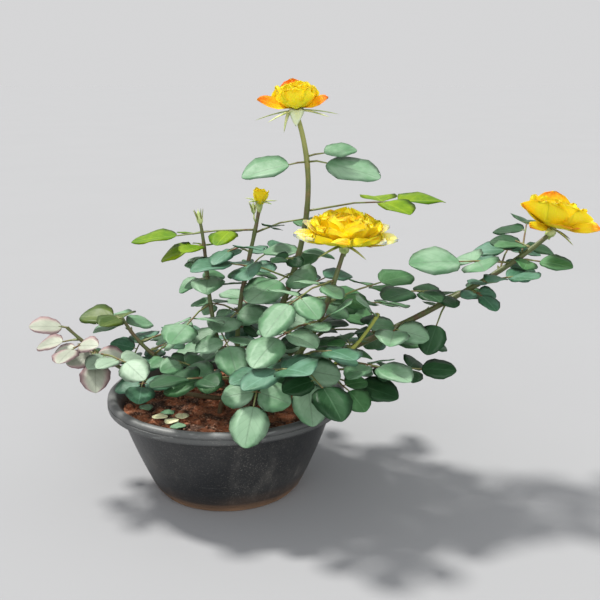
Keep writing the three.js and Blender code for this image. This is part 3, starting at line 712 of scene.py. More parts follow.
class Bush:
    """Takes up a leaf only where it keeps clear of everything before it."""

    def __init__(self):
        self.limbs = {row[0]: Limb(row) for row in SHOOTS}
        places = [(limb, i / STEM_MARKS) for limb in self.limbs.values() for i in range(STEM_MARKS + 1)]
        self.stem_points = np.array([limb.at(t) for limb, t in places])
        self.stem_radii = np.array([limb.radius(t) for limb, t in places])
        self.stem_names = np.array([limb.name for limb, t in places])
        self.stem_places = np.array([t for limb, t in places])
        self.blooms = [(name, self.limbs[name].at(1), radius, height, heading(azimuth, rise), sepals)
                       for name, radius, height, azimuth, rise, sepals in BLOOMS]
        self.blades = []
        self.stalks = np.zeros((0, 3))
        self.leaves = []

    def clear_blade(self, blade, stalks, gaps=WIDE_GAPS, own=None):
        marks = blade.samples()
        (stem_gap, stem_room), stalk_gaps, blade_gaps = gaps
        if not clear_of_pot(marks, 4):
            return False
        for _, foot, radius, height, axis, _ in self.blooms:
            d = marks - foot
            along = d @ axis
            off = np.linalg.norm(d - along[:, None] * axis, axis=1)
            if np.any((along > -14) & (along < height + 6) & (off < radius + 5)):
                return False
        near = np.linalg.norm(self.stem_points - blade.centre, axis=1) < blade.length
        for p, r in zip(self.stem_points[near], self.stem_radii[near]):
            if blade.holds(p, r + stem_gap, r + stem_room):
                return False
        if len(stalks) and blade.holds(stalks, *stalk_gaps):
            return False
        for other in self.blades:
            apart = float(np.linalg.norm(other.centre - blade.centre))
            if other is not own and apart <= (other.length + blade.length) / 2 + 4:
                if other.holds(marks, *blade_gaps) or blade.holds(other.samples(), *blade_gaps):
                    return False
        return True

    def try_leaf(self, limb, t, sizes, dice, least, tint):
        points, blades = grown_leaf(limb.at(t), *sizes, dice)
        stalk = stalk_marks(points, 1)
        if not clear_of_pot(stalk, 3) or any(blade.holds(stalk, 4, 2) for blade in self.blades):
            return False
        own = (self.stem_names == limb.name) & (np.abs(self.stem_places - t) <= 0.08)
        apart = np.linalg.norm(self.stem_points[None] - stalk[:, None], axis=2)
        if np.any((apart < self.stem_radii + 3) & ~own):
            return False
        kept = [blade for blade in blades if self.clear_blade(blade, self.stalks)]
        enough = len(kept) >= least and (least == 1 or kept[0] is blades[0])
        if enough:
            self.leaves.append((limb, t, points, kept, tint))
            self.blades += kept
            self.stalks = np.concatenate([self.stalks, stalk])
        return enough

    def grow(self):
        for name, t, *sizes, tint in NAMED_LEAVES:
            self.try_leaf(self.limbs[name], t, [*sizes, 0], Dice(11), 1, tint)
        for k, limb in enumerate(self.limbs.values()):
            dice = Dice(limb.seed)
            for i in range(limb.count):
                t = limb.begin + (limb.end - limb.begin) * (i + 0.5) / limb.count
                first = 40 * k + GOLDEN * i + dice.spread(60)
                self.search(limb, t, first, limb.length, (0.6, 3), dice)

    def search(self, limb, t, first, size, many, dice):
        """Tries a leaf again and again, turned a little further round the stem each time."""
        for attempt in range(TRIES):
            rise = 18 + dice.spread(16)
            pairs = 2 if dice.roll() < many[0] else 1
            length = size * (1 + dice.spread(0.16))
            reach = (1.15 + 0.75 * pairs) * length
            droop = 22 + dice.spread(12)
            sizes = [first + attempt * NEXT_TRY, rise, reach, length, pairs, droop, dice.spread(12)]
            if self.try_leaf(limb, t, sizes, dice, many[1], None):
                return


bush = Bush()
bush.grow()
source_leaves = len(bush.leaves)
print("leaves", source_leaves, "leaflets", len(bush.blades))

# %% [markdown]
# The source stops at the leaves that shape the crown. The real bush has young leaves between
# them too, so the rule goes on here with smaller leaflets in the room that is left.

# %% Finer leaves in the room that is left
YOUNG_SHARE = 0.6
YOUNG_LEAVES = 2

for k, limb in enumerate(bush.limbs.values()):
    dice = Dice(limb.seed + 900)
    for i in range(YOUNG_LEAVES):
        t = limb.begin + (min(limb.end, 0.93) - limb.begin) * (i + 0.2) / YOUNG_LEAVES
        first = 70 * k + GOLDEN * i + dice.spread(60)
        bush.search(limb, t, first, limb.length * YOUNG_SHARE, (0.35, 3), dice)
print("young leaves", len(bush.leaves) - source_leaves, "leaflets", len(bush.blades))

# %% [markdown]
# The rule turns every face to the light. On the real bush the lime and olive leaves and many
# leaflets high in the crown lie nearly level instead, and show as thin streaks from the front. So
# they are turned about their own ribs, each only where it keeps clear of all round it.

# %% Leaflets laid nearly level
NEARLY_LEVEL = (0, -0.12, 1)
LEVEL_SHARE = 0.85
LEVEL_HEIGHT = 160


def laid_level(blade, normal, stalks):
    """Turns a leaflet about its rib, unless it would touch a leaflet, a stem or a stalk."""
    twin = Blade(blade.base, blade.way, normal, blade.length)
    free = bush.clear_blade(twin, stalks, CLOSE_GAPS, blade)
    if free:
        blade.side, blade.face = twin.side, twin.face
    return free


all_stalks = [stalk_marks(points, 0) for _, _, points, _, _ in bush.leaves]
dice = Dice(77)
laid = []
for k, (limb, t, points, blades, tint) in enumerate(bush.leaves):
    others = np.concatenate(all_stalks[:k] + all_stalks[k + 1:])
    for blade in blades:
        sway = 0 if tint == "lime" else vec(dice.spread(0.3), dice.spread(0.3), 0)
        chosen = tint is None and blade.centre[2] > LEVEL_HEIGHT and dice.roll() < LEVEL_SHARE
        if chosen or tint in ("lime", "olive"):
            laid.append(laid_level(blade, vec(*NEARLY_LEVEL) + sway, others))
print("leaflets laid level", sum(laid), "of", len(laid))

# %% [markdown]
# ## Crown
#
# Where the canes meet, the plant is one knobbly lump of wood with a flared foot. It is pulled up
# like the pot and then pushed about: long ridges of bark follow its height, and four swellings
# carry the oldest canes.

# %% Woody crown with bark
BARK_DEPTH = 1.3
CROWN_TOP = 27.6
CROWN_SIDES = 72
CROWN_RINGS = 26


def crown_radius(height):
    """The source's outline of the crown, in millimetres."""
    profile = [(0, CROWN_FLARE), (5, CROWN_RADIUS * 1.25), (12, CROWN_RADIUS), (21, CROWN_RADIUS * 0.95)]
    profile += [(26, CROWN_RADIUS * 0.68), (CROWN_TOP, CROWN_RADIUS * 0.3)]
    return float(np.interp(height, *zip(*profile)))


levels = [CROWN_TOP * k / CROWN_RINGS for k in range(CROWN_RINGS + 1)]
crown_rings = [(crown_radius(level) * MM, (SOIL_HEIGHT - 2 + level * 1.07) * MM) for level in levels]
crown = pulled_up("woody_crown", crown_rings, CROWN_SIDES, (CROWN[0] * MM, CROWN[1] * MM))


def barked(p):
    x, y, z = p.x / MM - CROWN[0], p.y / MM - CROWN[1], p.z / MM
    around, off = math.atan2(y, x), math.hypot(x, y)
    knob = 1 + 0.08 * math.sin(4 * around + 0.1 * (z - SOIL_HEIGHT))
    ridge = noise.fractal(Vector((math.cos(around) * 5, math.sin(around) * 5, z / 14)), 0.9, 2.2, 4)
    rough = noise.noise(Vector((x / 3, y / 3, z / 6)))
    reach = off * knob + (abs(ridge) * 2 - 0.8) * BARK_DEPTH * min(1, off / 8) + rough * 0.5
    share = reach / off if off > 0.5 else 1
    return Vector(((CROWN[0] + x * share) * MM, (CROWN[1] + y * share) * MM, p.z))


reshaped(crown, barked)
smoothed(crown, 50)

# %% Grey-brown bark
BARK_DARK = (0.055, 0.036, 0.022)
BARK_PALE = (0.27, 0.19, 0.12)

bark = Finish("rose_bark", roughness=0.88)
fissures = bark.cloud(1.0, 6.0, bark.stretched((420, 420, 70)))
colour = bark.mixed(fissures.from_to(0.35, 0.65), BARK_DARK, BARK_PALE)
bark.set(base_color=colour)
bark.bump(fissures, 0.0012)
dressed(crown, "bark", [bark], "crown")

# %% [markdown]
# ## Canes and upper stems
#
# A cane is one Blender curve with two points: the source's four points are just those two and
# their inner handles. A round bevel whose radius falls along the curve gives the taper. Made a
# mesh, it gets its relief: a swollen ring under every leaf and the faint ribs of green wood. One
# curve is cut in two where the leafy shoot begins, by halving its handles, as the source does.

# %% Curves with the source's own handles
STEM_STEPS = 26


def cut(points, low, high):
    """The four points of a stretch of a cubic curve."""
    def halved(four, t):
        rows = [list(four)]
        while len(rows[-1]) > 1:
            rows.append([a + (b - a) * t for a, b in zip(rows[-1], rows[-1][1:])])
        return [row[0] for row in rows], [row[-1] for row in rows][::-1]

    after = halved(points, low)[1]
    return halved(after, (high - low) / (1 - low))[0]


def limb_piece(limb, low, high):
    """A tapering round stem along a stretch of a limb."""
    four = [Vector(p * MM) for p in cut(limb.points, low, high)]
    alone()
    bpy.ops.curve.primitive_bezier_curve_add()
    stem = bpy.context.object
    first, last = stem.data.splines[0].bezier_points
    for point, place, left, right, t in ((first, 0, 0, 1, low), (last, 3, 2, 3, high)):
        point.handle_left_type = point.handle_right_type = "FREE"
        point.co, point.handle_left, point.handle_right = four[place], four[left], four[right]
        point.radius = limb.radius(t) * MM
    stem.data.splines[0].resolution_u = STEM_STEPS
    stem.data.bevel_depth = 1
    stem.data.bevel_resolution = 3
    stem.data.use_fill_caps = True
    bpy.ops.object.convert(target="MESH")
    return bpy.context.object


def joined(name, pieces):
    alone(pieces[0])
    for piece in pieces:
        piece.select_set(True)
    bpy.ops.object.join()
    bpy.ops.object.mode_set(mode="EDIT")
    bpy.ops.mesh.select_all(action="SELECT")
    bpy.ops.mesh.remove_doubles(threshold=1e-6)
    return closed_up(name)


# %% Relief on the stems: swellings under the leaves, and fine ribs
SWELLING = 0.45
RIB_DEPTH = 0.12

leaf_feet = np.array([points[0] for _, _, points, _, _ in bush.leaves])


def with_relief(piece, depth):
    for corner in piece.data.vertices:
        p = np.array(corner.co) / MM
        near = float(np.min(np.linalg.norm(leaf_feet - p, axis=1)))
        swell = SWELLING * math.exp(-(near / 4.5) ** 2)
        rib = depth * noise.noise(corner.co * 420) + depth * noise.noise(corner.co * 150)
        corner.co += corner.normal * (swell + rib) * MM
    piece.data.update()
    smoothed(piece, 60)
    return piece


limbs = list(bush.limbs.values())
canes = with_relief(joined("canes", [limb_piece(limb, 0, limb.begin) for limb in limbs]), RIB_DEPTH * 2)
stems = with_relief(joined("upper_stems", [limb_piece(limb, limb.begin, 1) for limb in limbs]), RIB_DEPTH)

# %% Green-brown cane and fresh green stem
CANE_BROWN = (0.13, 0.09, 0.045)
CANE_GREEN = (0.15, 0.2, 0.06)
STEM_PALE = (0.34, 0.36, 0.1)
STEM_GREEN = (0.1, 0.125, 0.035)
STEM_RED = (0.13, 0.07, 0.04)

cane_skin = Finish("cane_skin", roughness=0.6)
upright = cane_skin.upright()
mottle = cane_skin.cloud(1.0, 4.0, cane_skin.stretched((300, 300, 90)))
aged = 1 - (upright + mottle * 0.04).from_to(0.11, 0.2)
colour = cane_skin.mixed(aged, CANE_GREEN, CANE_BROWN)
colour = cane_skin.mixed(mottle.from_to(0.55, 0.75) * 0.4, colour, BARK_PALE)
cane_skin.set(base_color=colour)
cane_skin.bump(mottle, 0.0005)
dressed(canes, "cane", [cane_skin], *cane_nodes)

stem_skin = Finish("stem_skin", roughness=0.48)
upright = stem_skin.upright()
mottle = stem_skin.cloud(90.0, 4.0)
colour = stem_skin.mixed(mottle.from_to(0.46, 0.66) * 0.8, STEM_GREEN, STEM_RED)
colour = stem_skin.mixed((upright + mottle * 0.06).from_to(0.33, 0.45), colour, STEM_PALE)
stem_skin.set(base_color=colour)
stem_skin.bump(stem_skin.cloud(500.0), 0.0003)

# One stem on the right is still tender and lime green
TENDER_LIME = (0.36, 0.42, 0.05)
tender_skin = mottled("tender_stem_skin", 90.0, TENDER_LIME, STEM_PALE, roughness=0.48)
dressed(stems, "foliage", [stem_skin, tender_skin], *shoot_nodes)
for face in stems.data.polygons:
    nearest = np.argmin(np.linalg.norm(bush.stem_points - np.array(face.center) / MM, axis=1))
    face.material_index = int(bush.stem_names[nearest] == "low_right")

# %% [markdown]
# ## Leaflets
#
# A rose leaflet is an oval with a toothed edge, folded a little along its middle rib and bulged
# between the side veins. One sheet of 13 rows by five columns, with an underside that shares
# its edge, holds all of that in a few dozen faces. The fold, the droop of the tip and the wave of
# the edge are thrown with dice, so that no two leaflets are alike.

# %% A thin closed sheet: an upper and a lower side that share their edge
def sheet_faces(rows, columns):
    """Faces of the upper side and then of the lower one, whose inner corners are its own."""
    upper = np.arange(rows * columns).reshape(rows, columns)
    lower = upper.copy()
    lower[1:-1, 1:-1] = rows * columns + np.arange((rows - 2) * (columns - 2)).reshape(rows - 2, columns - 2)
    cells = [(i, j) for i in range(rows - 1) for j in range(columns - 1)]
    faces = [(upper[i, j], upper[i + 1, j], upper[i + 1, j + 1], upper[i, j + 1]) for i, j in cells]
    return faces + [(lower[i, j], lower[i, j + 1], lower[i + 1, j + 1], lower[i + 1, j]) for i, j in cells]


def sheet(bundle, middles, side, normals, widths, heights, thick, finishes):
    """A blade from its middle line: a middle and a width a row, and a height a corner."""
    rows, columns = heights.shape
    across = np.linspace(-1, 1, columns)
    reach = widths[:, None, None] * across[None, :, None] * side
    normals = np.broadcast_to(normals, (rows, 3))[:, None]
    top = middles[:, None] + reach + normals * heights[:, :, None]
    under = (top - normals * thick)[1:-1, 1:-1]
    marks = np.stack(np.meshgrid(across / 2 + 0.5, np.linspace(0, 1, rows)), -1)
    faces = sheet_faces(rows, columns)
    half = len(faces) // 2
    bundle.add(np.concatenate([top.reshape(-1, 3), under.reshape(-1, 3)]), faces,
               np.concatenate([marks.reshape(-1, 2), marks[1:-1, 1:-1].reshape(-1, 2)]),
               [finishes[0]] * half + [finishes[1]] * half)


# %% Leaf tints: each leaf has one, above and below
# The dark tint is partly painted shade, as dark as leaves look deep inside the crown.
# The mint tint is partly painted sheen, as pale as a waxy leaf looks where sun and sky shine on it.
# The undersides are mostly yellower: partly their own colour, partly painted light shining through.
LEAF_TINTS = {
    "mint": ((0.2, 0.33, 0.21), (0.13, 0.25, 0.12)),
    "pale": ((0.27, 0.38, 0.27), (0.26, 0.36, 0.22)),
    "teal": ((0.09, 0.2, 0.135), (0.09, 0.19, 0.1)),
    "mid": ((0.07, 0.18, 0.07), (0.07, 0.16, 0.05)),
    "dark": ((0.02, 0.072, 0.026), (0.03, 0.09, 0.024)),
    "lime": ((0.16, 0.25, 0.003), (0.18, 0.27, 0.004)),
    "olive": ((0.07, 0.11, 0.01), (0.12, 0.17, 0.012)),
    "young": ((0.36, 0.39, 0.31), (0.4, 0.37, 0.33)),
    # The yellow tint is partly painted sunlight, as pale as fallen leaflets look in full sun.
    "yellow": ((0.95, 0.92, 0.55), (0.9, 0.86, 0.5)),
}
tint_numbers = {name: 2 * k for k, name in enumerate(LEAF_TINTS)}
TINT_SHARES = {
    "far_left": (("pale", 0.5), ("young", 0.2), ("mint", 0.3)),
    "low_left": (("teal", 0.36), ("dark", 0.34), ("mint", 0.3)),
    "other": (("mint", 0.26), ("teal", 0.2), ("mid", 0.28), ("dark", 0.26)),
}


def dealt_tint(limb, t, dice):
    """Only the tip of the far left shoot is young: its lower leaves are like their neighbours."""
    name = "low_left" if limb.name == "far_left" and t < 0.72 else limb.name
    shares = TINT_SHARES.get(name, TINT_SHARES["other"])
    rolled = dice.roll()
    for tint, share in shares:
        rolled -= share
        if rolled <= 0:
            return tint
    return shares[-1][0]


# %% Skins of the leaflets
MAUVE_RIM = (0.4, 0.2, 0.24)
VEINS = 6.5


def leaf_finish(name, colour, shine):
    """Patches of painted shade and painted sheen, and ribs and veins that are dark on a bright
    leaflet and pale on a dark one.
    """
    skin = Finish(name, roughness=shine, specular_ior_level=0.14 if "lime" in name else 0.34)
    across, along = skin.across_and_along()
    off = abs(across - 0.5)
    middle = 1 - off.from_to(0.008, 0.035)
    slant = (along - off * 0.75) * VEINS
    side = (1 - slant.wave().from_to(0.02, 0.22)) * (1 - off.from_to(0.3, 0.48))
    mottle = skin.cloud(160.0).from_to(0.3, 0.7)
    rib = tuple(c * 0.6 if colour[1] > 0.3 else c * 1.5 + 0.015 for c in colour)
    faded = any(word in name for word in ("young", "yellow", "pale"))
    # Painted shade and painted sheen: soft patches darken part of a leaflet and lighten the rest.
    painted_shade_tone = tuple(c * (0.85 if faded else share) for c, share in zip(colour, (0.5, 0.72, 0.54)))
    patches = (skin.cloud(34.0, 0.5) * 0.9 + mottle * 0.1).from_to(0.32, 0.68)
    tone = skin.mixed(patches, painted_shade_tone, tuple(min(1, c * 1.12) for c in colour))
    if "young" in name:
        tone = skin.mixed(off.from_to(0.2, 0.5) * 0.75, tone, MAUVE_RIM)
    skin.set(base_color=skin.mixed(middle * 0.5 + side * 0.22, tone, rib))
    skin.bump(slant.wave() * 0.3 + mottle * 0.4 - middle * 0.6, 0.0002)
    return skin


leaf_skins = []
for name, (above, below) in LEAF_TINTS.items():
    leaf_skins.append(leaf_finish(f"leaf_{name}_above", above, 0.5))
    leaf_skins.append(leaf_finish(f"leaf_{name}_below", below, 0.6))

# %% Leaflets of every leaf
LEAF_ROWS = 0.5 - 0.5 * np.cos(np.pi * np.arange(13) / 12)
LEAF_COLUMNS = 5
TOOTH = 0.022
LEAF_THICK = 0.45


def leaflet_sheet(bundle, blade, tint, dice):
    s = LEAF_ROWS
    outline = s ** 0.5 * (1 - s) ** 0.6 / 0.47
    outline[0], outline[-1] = 0.08, 0.03
    teeth = 1 + TOOTH * np.where(np.arange(len(s)) % 2, 1, -1)
    widths = blade.width / 2 * outline * teeth
    droop = 0.06 + 0.05 * dice.roll()
    middles = blade.base + np.outer(s * blade.length, blade.way)
    middles -= np.outer(droop * blade.length * s * s, blade.face)
    across = np.abs(np.linspace(-1, 1, LEAF_COLUMNS))
    fold = 0.03 + 0.15 * dice.roll()
    bulge = 0.05 * (across * (1 - across) * 4)
    wave = 0.05 * np.sin(2 * np.pi * (s[:, None] * 1.5 + dice.roll())) * across
    heights = widths[:, None] * (fold * across + bulge + wave)
    finishes = (tint_numbers[tint], tint_numbers[tint] + 1)
    sheet(bundle, middles, blade.side, blade.face, widths, heights, LEAF_THICK, finishes)


dice = Dice(2024)
leaflets = Bundle()
for limb, t, points, blades, tint in bush.leaves:
    tint = tint or dealt_tint(limb, t, dice)
    for blade in blades:
        leaflet_sheet(leaflets, blade, tint, dice)
leaf_piece = leaflets.piece("leaflets")
dressed(leaf_piece, "foliage", leaf_skins, *shoot_nodes)

# %% [markdown]
# ## Leaf stalks
#
# A leaf hangs on a thin reddish stalk with a small wing on each side of its foot, and each side
# leaflet has a short stalk of its own. They are five-sided tubes along the rule's own points.

# %% Stalks and the small wings at their feet
STALK_SIDES = 5
STALK_RADII = (1.25, 0.8)
WING_LENGTH = 9
WING_THICK = 0.4


def tube(bundle, points, radii, sides, finish):
    """A closed round stalk through a row of points."""
    points = np.asarray(points)
    ways = np.gradient(points, axis=0)
    side = vec(0, 0, 1) if abs(unit(ways[0])[2]) < 0.9 else vec(1, 0, 0)
    rings = []
    for p, way, radius in zip(points, ways, radii):
        way = unit(way)
        side = unit(side - way * float(side @ way))
        other = cross(way, side)
        angles = 2 * np.pi * np.arange(sides) / sides
        rings.append(p + radius * (np.outer(np.cos(angles), side) + np.outer(np.sin(angles), other)))
    n, last = sides, (len(points) - 1) * sides
    pairs = [(k + i, k + (i + 1) % n) for k in range(0, last, n) for i in range(n)]
    faces = [(a, b, b + n, a + n) for a, b in pairs]
    faces += [tuple(range(n))[::-1], tuple(range(last, last + n))]
    marks = [(i / n, k / len(points)) for k in range(len(points)) for i in range(n)]
    bundle.add(np.concatenate(rings), faces, marks, finish)


def wing(bundle, foot, way, side, face):
    """A narrow green wing beside the foot of a stalk."""
    s = np.linspace(0, 1, 5)
    middles = foot + np.outer(s * WING_LENGTH, unit(way + side * 0.35)) + side * 0.8
    widths = 1.5 * np.array([0.7, 1, 0.9, 0.5, 0.06])
    heights = np.zeros((5, 3)) + 0.3 * np.abs(np.linspace(-1, 1, 3))
    sheet(bundle, middles, side, face, widths, heights, WING_THICK, (1, 1))


stalks = Bundle()
for limb, t, points, blades, tint in bush.leaves:
    a, b, c = points[0], points[2], points[4]
    tube(stalks, [a, (a + b) / 2, b, (b + c) / 2, c], np.linspace(*STALK_RADII, 5), STALK_SIDES, 0)
    for blade in blades:
        if float(np.linalg.norm(blade.base - blade.foot)) > 1:
            path = [blade.foot, blade.base, blade.base + blade.way * 2]
            tube(stalks, path, (0.6, 0.6, 0.5), STALK_SIDES, 0)
    way = unit(points[1] - points[0])
    level = unit(cross(vec(0, 0, 1), way))
    for side in (level, -level):
        wing(stalks, points[0] + way * 2, way, side, cross(way, level))
stalk_piece = stalks.piece("leaf_stalks")

STALK_GREEN = (0.2, 0.24, 0.08)
STALK_RED = (0.16, 0.075, 0.035)
WING_GREEN = (0.16, 0.28, 0.08)

stalk_skin = mottled("stalk_skin", 60.0, STALK_GREEN, STALK_RED, (0.42, 0.66), roughness=0.5)
wing_skin = mottled("wing_skin", 200.0, WING_GREEN, STALK_RED, roughness=0.55)
dressed(stalk_piece, "foliage", [stalk_skin, wing_skin], *shoot_nodes)

# %% [markdown]
# ## Blooms
#
# A rose is built in rings: a few wide guard petals that spread to the sides, then domed rings
# whose petals start level, bulge out and close over a tight heart. A petal is a cupped sheet,
# narrow at its foot and broad near its tip, whose edge ruffles. The guard petals are named one by
# one, because they give each bloom its outline in the photograph. Their colour follows the
# petal's own map, from yellow at the foot to orange and red at the edge.

# %% One petal
PETAL_ROWS = 12
PETAL_COLUMNS = 9
PETAL_THICK = 0.5
ROLL_BACK = 26
WIDTH_PLACES = [0, 0.12, 0.45, 0.72, 0.88, 0.96, 1]
ROUND_TIP = [0.16, 0.3, 0.86, 1, 0.84, 0.5, 0.16]
POINTED_TIP = [0.16, 0.34, 0.9, 0.92, 0.66, 0.34, 0.05]


def petal(bundle, foot, axis, azimuth, length, width, near, far, dice, finishes, tip, start=2.5, frill=0.09):
    """A cupped sheet that leans out by near degrees at its foot and far degrees at its edge."""
    out = heading(azimuth, 0)
    out = unit(out - axis * float(out @ axis))
    side = cross(axis, out)
    s = np.linspace(0, 1, PETAL_ROWS)
    widths = width / 2 * np.interp(s, WIDTH_PLACES, tip)
    middle = foot + out * start
    middles, normals = [], []
    for i, share in enumerate(s):
        roll_back = ROLL_BACK * max(0, (share - 0.82) / 0.18) ** 2
        bend = min(1, max(0, (share - 0.12) / 0.7))
        a = radians(near + (far - near) * bend + roll_back)
        way = out * math.sin(a) + axis * math.cos(a)
        if i:
            middle = middle + way * length / (PETAL_ROWS - 1)
        middles.append(middle)
        normals.append(cross(side, way) * -1)
    across = np.linspace(-1, 1, PETAL_COLUMNS)
    cup = 0.34 * across[None] ** 2 * (1 - 0.75 * s[:, None])
    ruffle = frill * np.sin(2 * np.pi * (across[None] * 1.3 + dice.roll())) * s[:, None] ** 2
    curl = -0.1 * np.abs(across[None]) ** 3 * np.clip(s[:, None] - 0.5, 0, 1)
    heights = width / 2 * (cup + ruffle + curl)
    sheet(bundle, np.array(middles), side, np.array(normals), widths, heights, PETAL_THICK, finishes)


# %% Rings of petals, from the outermost to the heart
# Number of petals, length and width as shares of the radius, lean at the foot and at the edge,
# and how far the ring is turned
CUPPED_RINGS = [
    (5, 0.82, 1.0, 88, -6, -90),
    (5, 0.8, 0.88, 70, -10, -54),
    (4, 0.72, 0.72, 48, -12, 20),
    (4, 0.66, 0.56, 28, -10, -20),
    (3, 0.6, 0.4, 10, -8, 70),
]
WIDE_RINGS = [
    (6, 0.94, 0.98, 90, 52, -90),
    (6, 0.9, 0.92, 78, 32, -58),
    (5, 0.84, 0.86, 62, 14, 10),
    (5, 0.76, 0.74, 44, 4, 50),
    (4, 0.68, 0.6, 24, -4, 20),
    (3, 0.62, 0.44, 8, -6, 70),
]
BOWL_RINGS = [
    (1, 0.9, 1.8, 84, 6, -100),
    (4, 0.94, 1.1, 84, 14, -30),
    (5, 0.82, 0.86, 66, -4, -70),
    (4, 0.74, 0.66, 44, -8, 20),
    (3, 0.64, 0.46, 18, -6, 70),
]
HALF_OPEN_RINGS = [(4, 1.3, 1.25, 34, 2, 0), (3, 1.3, 1.1, 18, 0, 30), (3, 1.2, 0.9, 2, -2, 70)]

# Guard petals: azimuth, length and width as shares of the radius, lean at the foot and at the
# edge, and how far they are tipped towards the front, so that their coloured faces show
TOP_GUARDS = [(183, 1.04, 0.5, 74, 58, 40), (-3, 0.86, 0.46, 76, 56, 36), (100, 0.9, 0.8, 50, 14, 0)]
CENTRE_GUARDS = [(168, 1.04, 0.42, 76, 52, 20), (184, 1.16, 0.5, 82, 68, 24), (206, 0.98, 0.5, 80, 70, 4),
                 (10, 1.04, 0.42, 78, 54, 20), (-6, 1.16, 0.5, 82, 70, 24), (-28, 0.98, 0.5, 80, 70, 4),
                 (60, 1, 0.8, 70, 60, 0), (130, 1, 0.8, 70, 60, 0)]
RIGHT_GUARDS = [(180, 1.06, 0.56, 74, 46, 26), (-18, 1.12, 0.8, 76, 66, 24), (92, 0.96, 1, 50, 8, 0),
                (-150, 0.7, 0.5, 92, 76, 20), (-70, 0.8, 0.9, 88, 70, 0)]

# Rings, guard petals, finishes inside and outside of those, and depth of the ruffles
SEAT = 8
FORMS = {
    "top": (CUPPED_RINGS, TOP_GUARDS, (0, 1), 0.09),
    "centre": (WIDE_RINGS, CENTRE_GUARDS, (2, 3), 0.2),
    "right": (BOWL_RINGS, RIGHT_GUARDS, (7, 8), 0.07),
    "bud": (HALF_OPEN_RINGS, [], (0, 1), 0.05),
}


def bloom(petals, name, foot, radius, axis, seed):
    dice = Dice(seed)
    rings, guards, guard_finish, frill = FORMS[name]
    seat = foot + axis * (SEAT if radius > 20 else 3)
    for azimuth, length, width, near, far, tip in guards:
        tipped = unit(axis - vec(0, math.tan(radians(tip)), 0))
        petal(petals, seat, tipped, azimuth, length * radius, width * radius, near, far, dice, guard_finish,
              POINTED_TIP, frill=frill)
    for ring, (count, length, width, near, far, turn) in enumerate(rings):
        for k in range(count):
            azimuth = 360 * k / count + turn + dice.spread(8)
            size = length * radius * (1 + dice.spread(0.07))
            finish = (4, 5) if ring < 3 else (6, 6)
            lean = near + dice.spread(5)
            start = 2.5 if ring < 3 else 1.5
            petal(petals, seat, axis, azimuth, size, width * radius, lean, far + dice.spread(8), dice, finish,
                  ROUND_TIP, start, frill)


petals = Bundle()
for number, (name, foot, radius, _, axis, _) in enumerate(bush.blooms):
    if name == "right":  # it shows a little more from the side than the source's plain form
        axis = heading(0, 79)
    bloom(petals, name, foot, radius, axis, 40 + number)
petal_piece = petals.piece("petals")
smoothed(petal_piece, 70)

# %% Yellow petals with orange-red edges
YELLOW = (0.99, 0.68, 0.006)
BRIGHT = (1.0, 0.77, 0.02)
GOLD = (1.0, 0.6, 0.006)
ORANGE = (0.95, 0.2, 0.008)
RED = (0.85, 0.05, 0.02)
CREAM = (0.98, 0.92, 0.6)
PETAL_GLOW = 0.85
PETAL_DEPTH = (0.01, 0.008, 0.0012)


def petal_finish(name, foot, body, tip, reach, edge, edge_share):
    """Colour that runs from foot over body to tip, with another along the edge."""
    skin = Finish(name, roughness=0.6, specular_ior_level=0.25, subsurface_weight=PETAL_GLOW,
                  subsurface_radius=PETAL_DEPTH)
    across, along = skin.across_and_along()
    wander = skin.cloud(70.0) * 0.3 - 0.15
    colour = skin.mixed((along + wander).from_to(0.05, 0.45), foot, body)
    colour = skin.mixed((along + wander).from_to(reach, 1.04), colour, tip)
    rim = (abs(across - 0.5) * 2 + wander).from_to(0.8, 1.06)
    skin.set(base_color=skin.mixed(rim * edge_share, colour, edge))
    fibres = (across * 26 + skin.cloud(120.0, 2.0)).wave()
    skin.bump(fibres, 0.0002)
    return skin


petal_skins = [
    petal_finish("flushed_petal_inside", YELLOW, YELLOW, ORANGE, 0.2, RED, 0.8),
    petal_finish("flushed_petal_back", YELLOW, YELLOW, ORANGE, 0.34, RED, 0.7),
    petal_finish("cream_edged_petal_inside", BRIGHT, BRIGHT, CREAM, 0.55, CREAM, 0.5),
    petal_finish("cream_edged_petal_back", BRIGHT, BRIGHT, CREAM, 0.6, CREAM, 0.5),
    petal_finish("inner_petal_inside", YELLOW, BRIGHT, BRIGHT, 0.8, ORANGE, 0.22),
    petal_finish("inner_petal_back", BRIGHT, BRIGHT, YELLOW, 0.8, ORANGE, 0.3),
    petal_finish("heart_petal", GOLD, BRIGHT, GOLD, 0.8, ORANGE, 0.3),
    petal_finish("red_tipped_petal_inside", YELLOW, BRIGHT, ORANGE, 0.68, RED, 0.5),
    petal_finish("red_tipped_petal_back", YELLOW, BRIGHT, ORANGE, 0.7, RED, 0.5),
]
dressed(petal_piece, "foliage", petal_skins, *shoot_nodes)

# %% [markdown]
# Under each bloom sits a green cup with five pointed sepals, folded back once the bloom is open.
# Two small closed buds stand near the half-open one, on a twig and on the next stem's tip. The
# cup is a short tube of rings, and a bud is such a tube closed to a point and wrapped in sepals.

# %% Green cups, sepals and closed buds
SEPAL_THICK = 0.6
CUP_HEIGHTS = (-6, -3, -1, 2, 5, 8)


def fifth_way(axis, k, sway):
    """One of five ways out from an axis, in degrees of sway from its even place."""
    return turned(unit(cross(axis, vec(0.3, 1, 0))), axis, 72 * k + sway)


def sepal(bundle, start, way, side, length, sag, half_width=2.9, finishes=(0, 1)):
    s = np.linspace(0, 1, 7)
    face = cross(way, side)
    middles = start + np.outer(s * length, way) - np.outer(sag * length * s * s, face)
    widths = half_width * np.interp(s, [0, 0.2, 0.5, 0.8, 1], [0.8, 1, 0.7, 0.34, 0.04])
    heights = widths[:, None] * 0.35 * np.abs(np.linspace(-1, 1, 5))[None]
    sheet(bundle, middles, side, face, widths, heights, SEPAL_THICK, finishes)


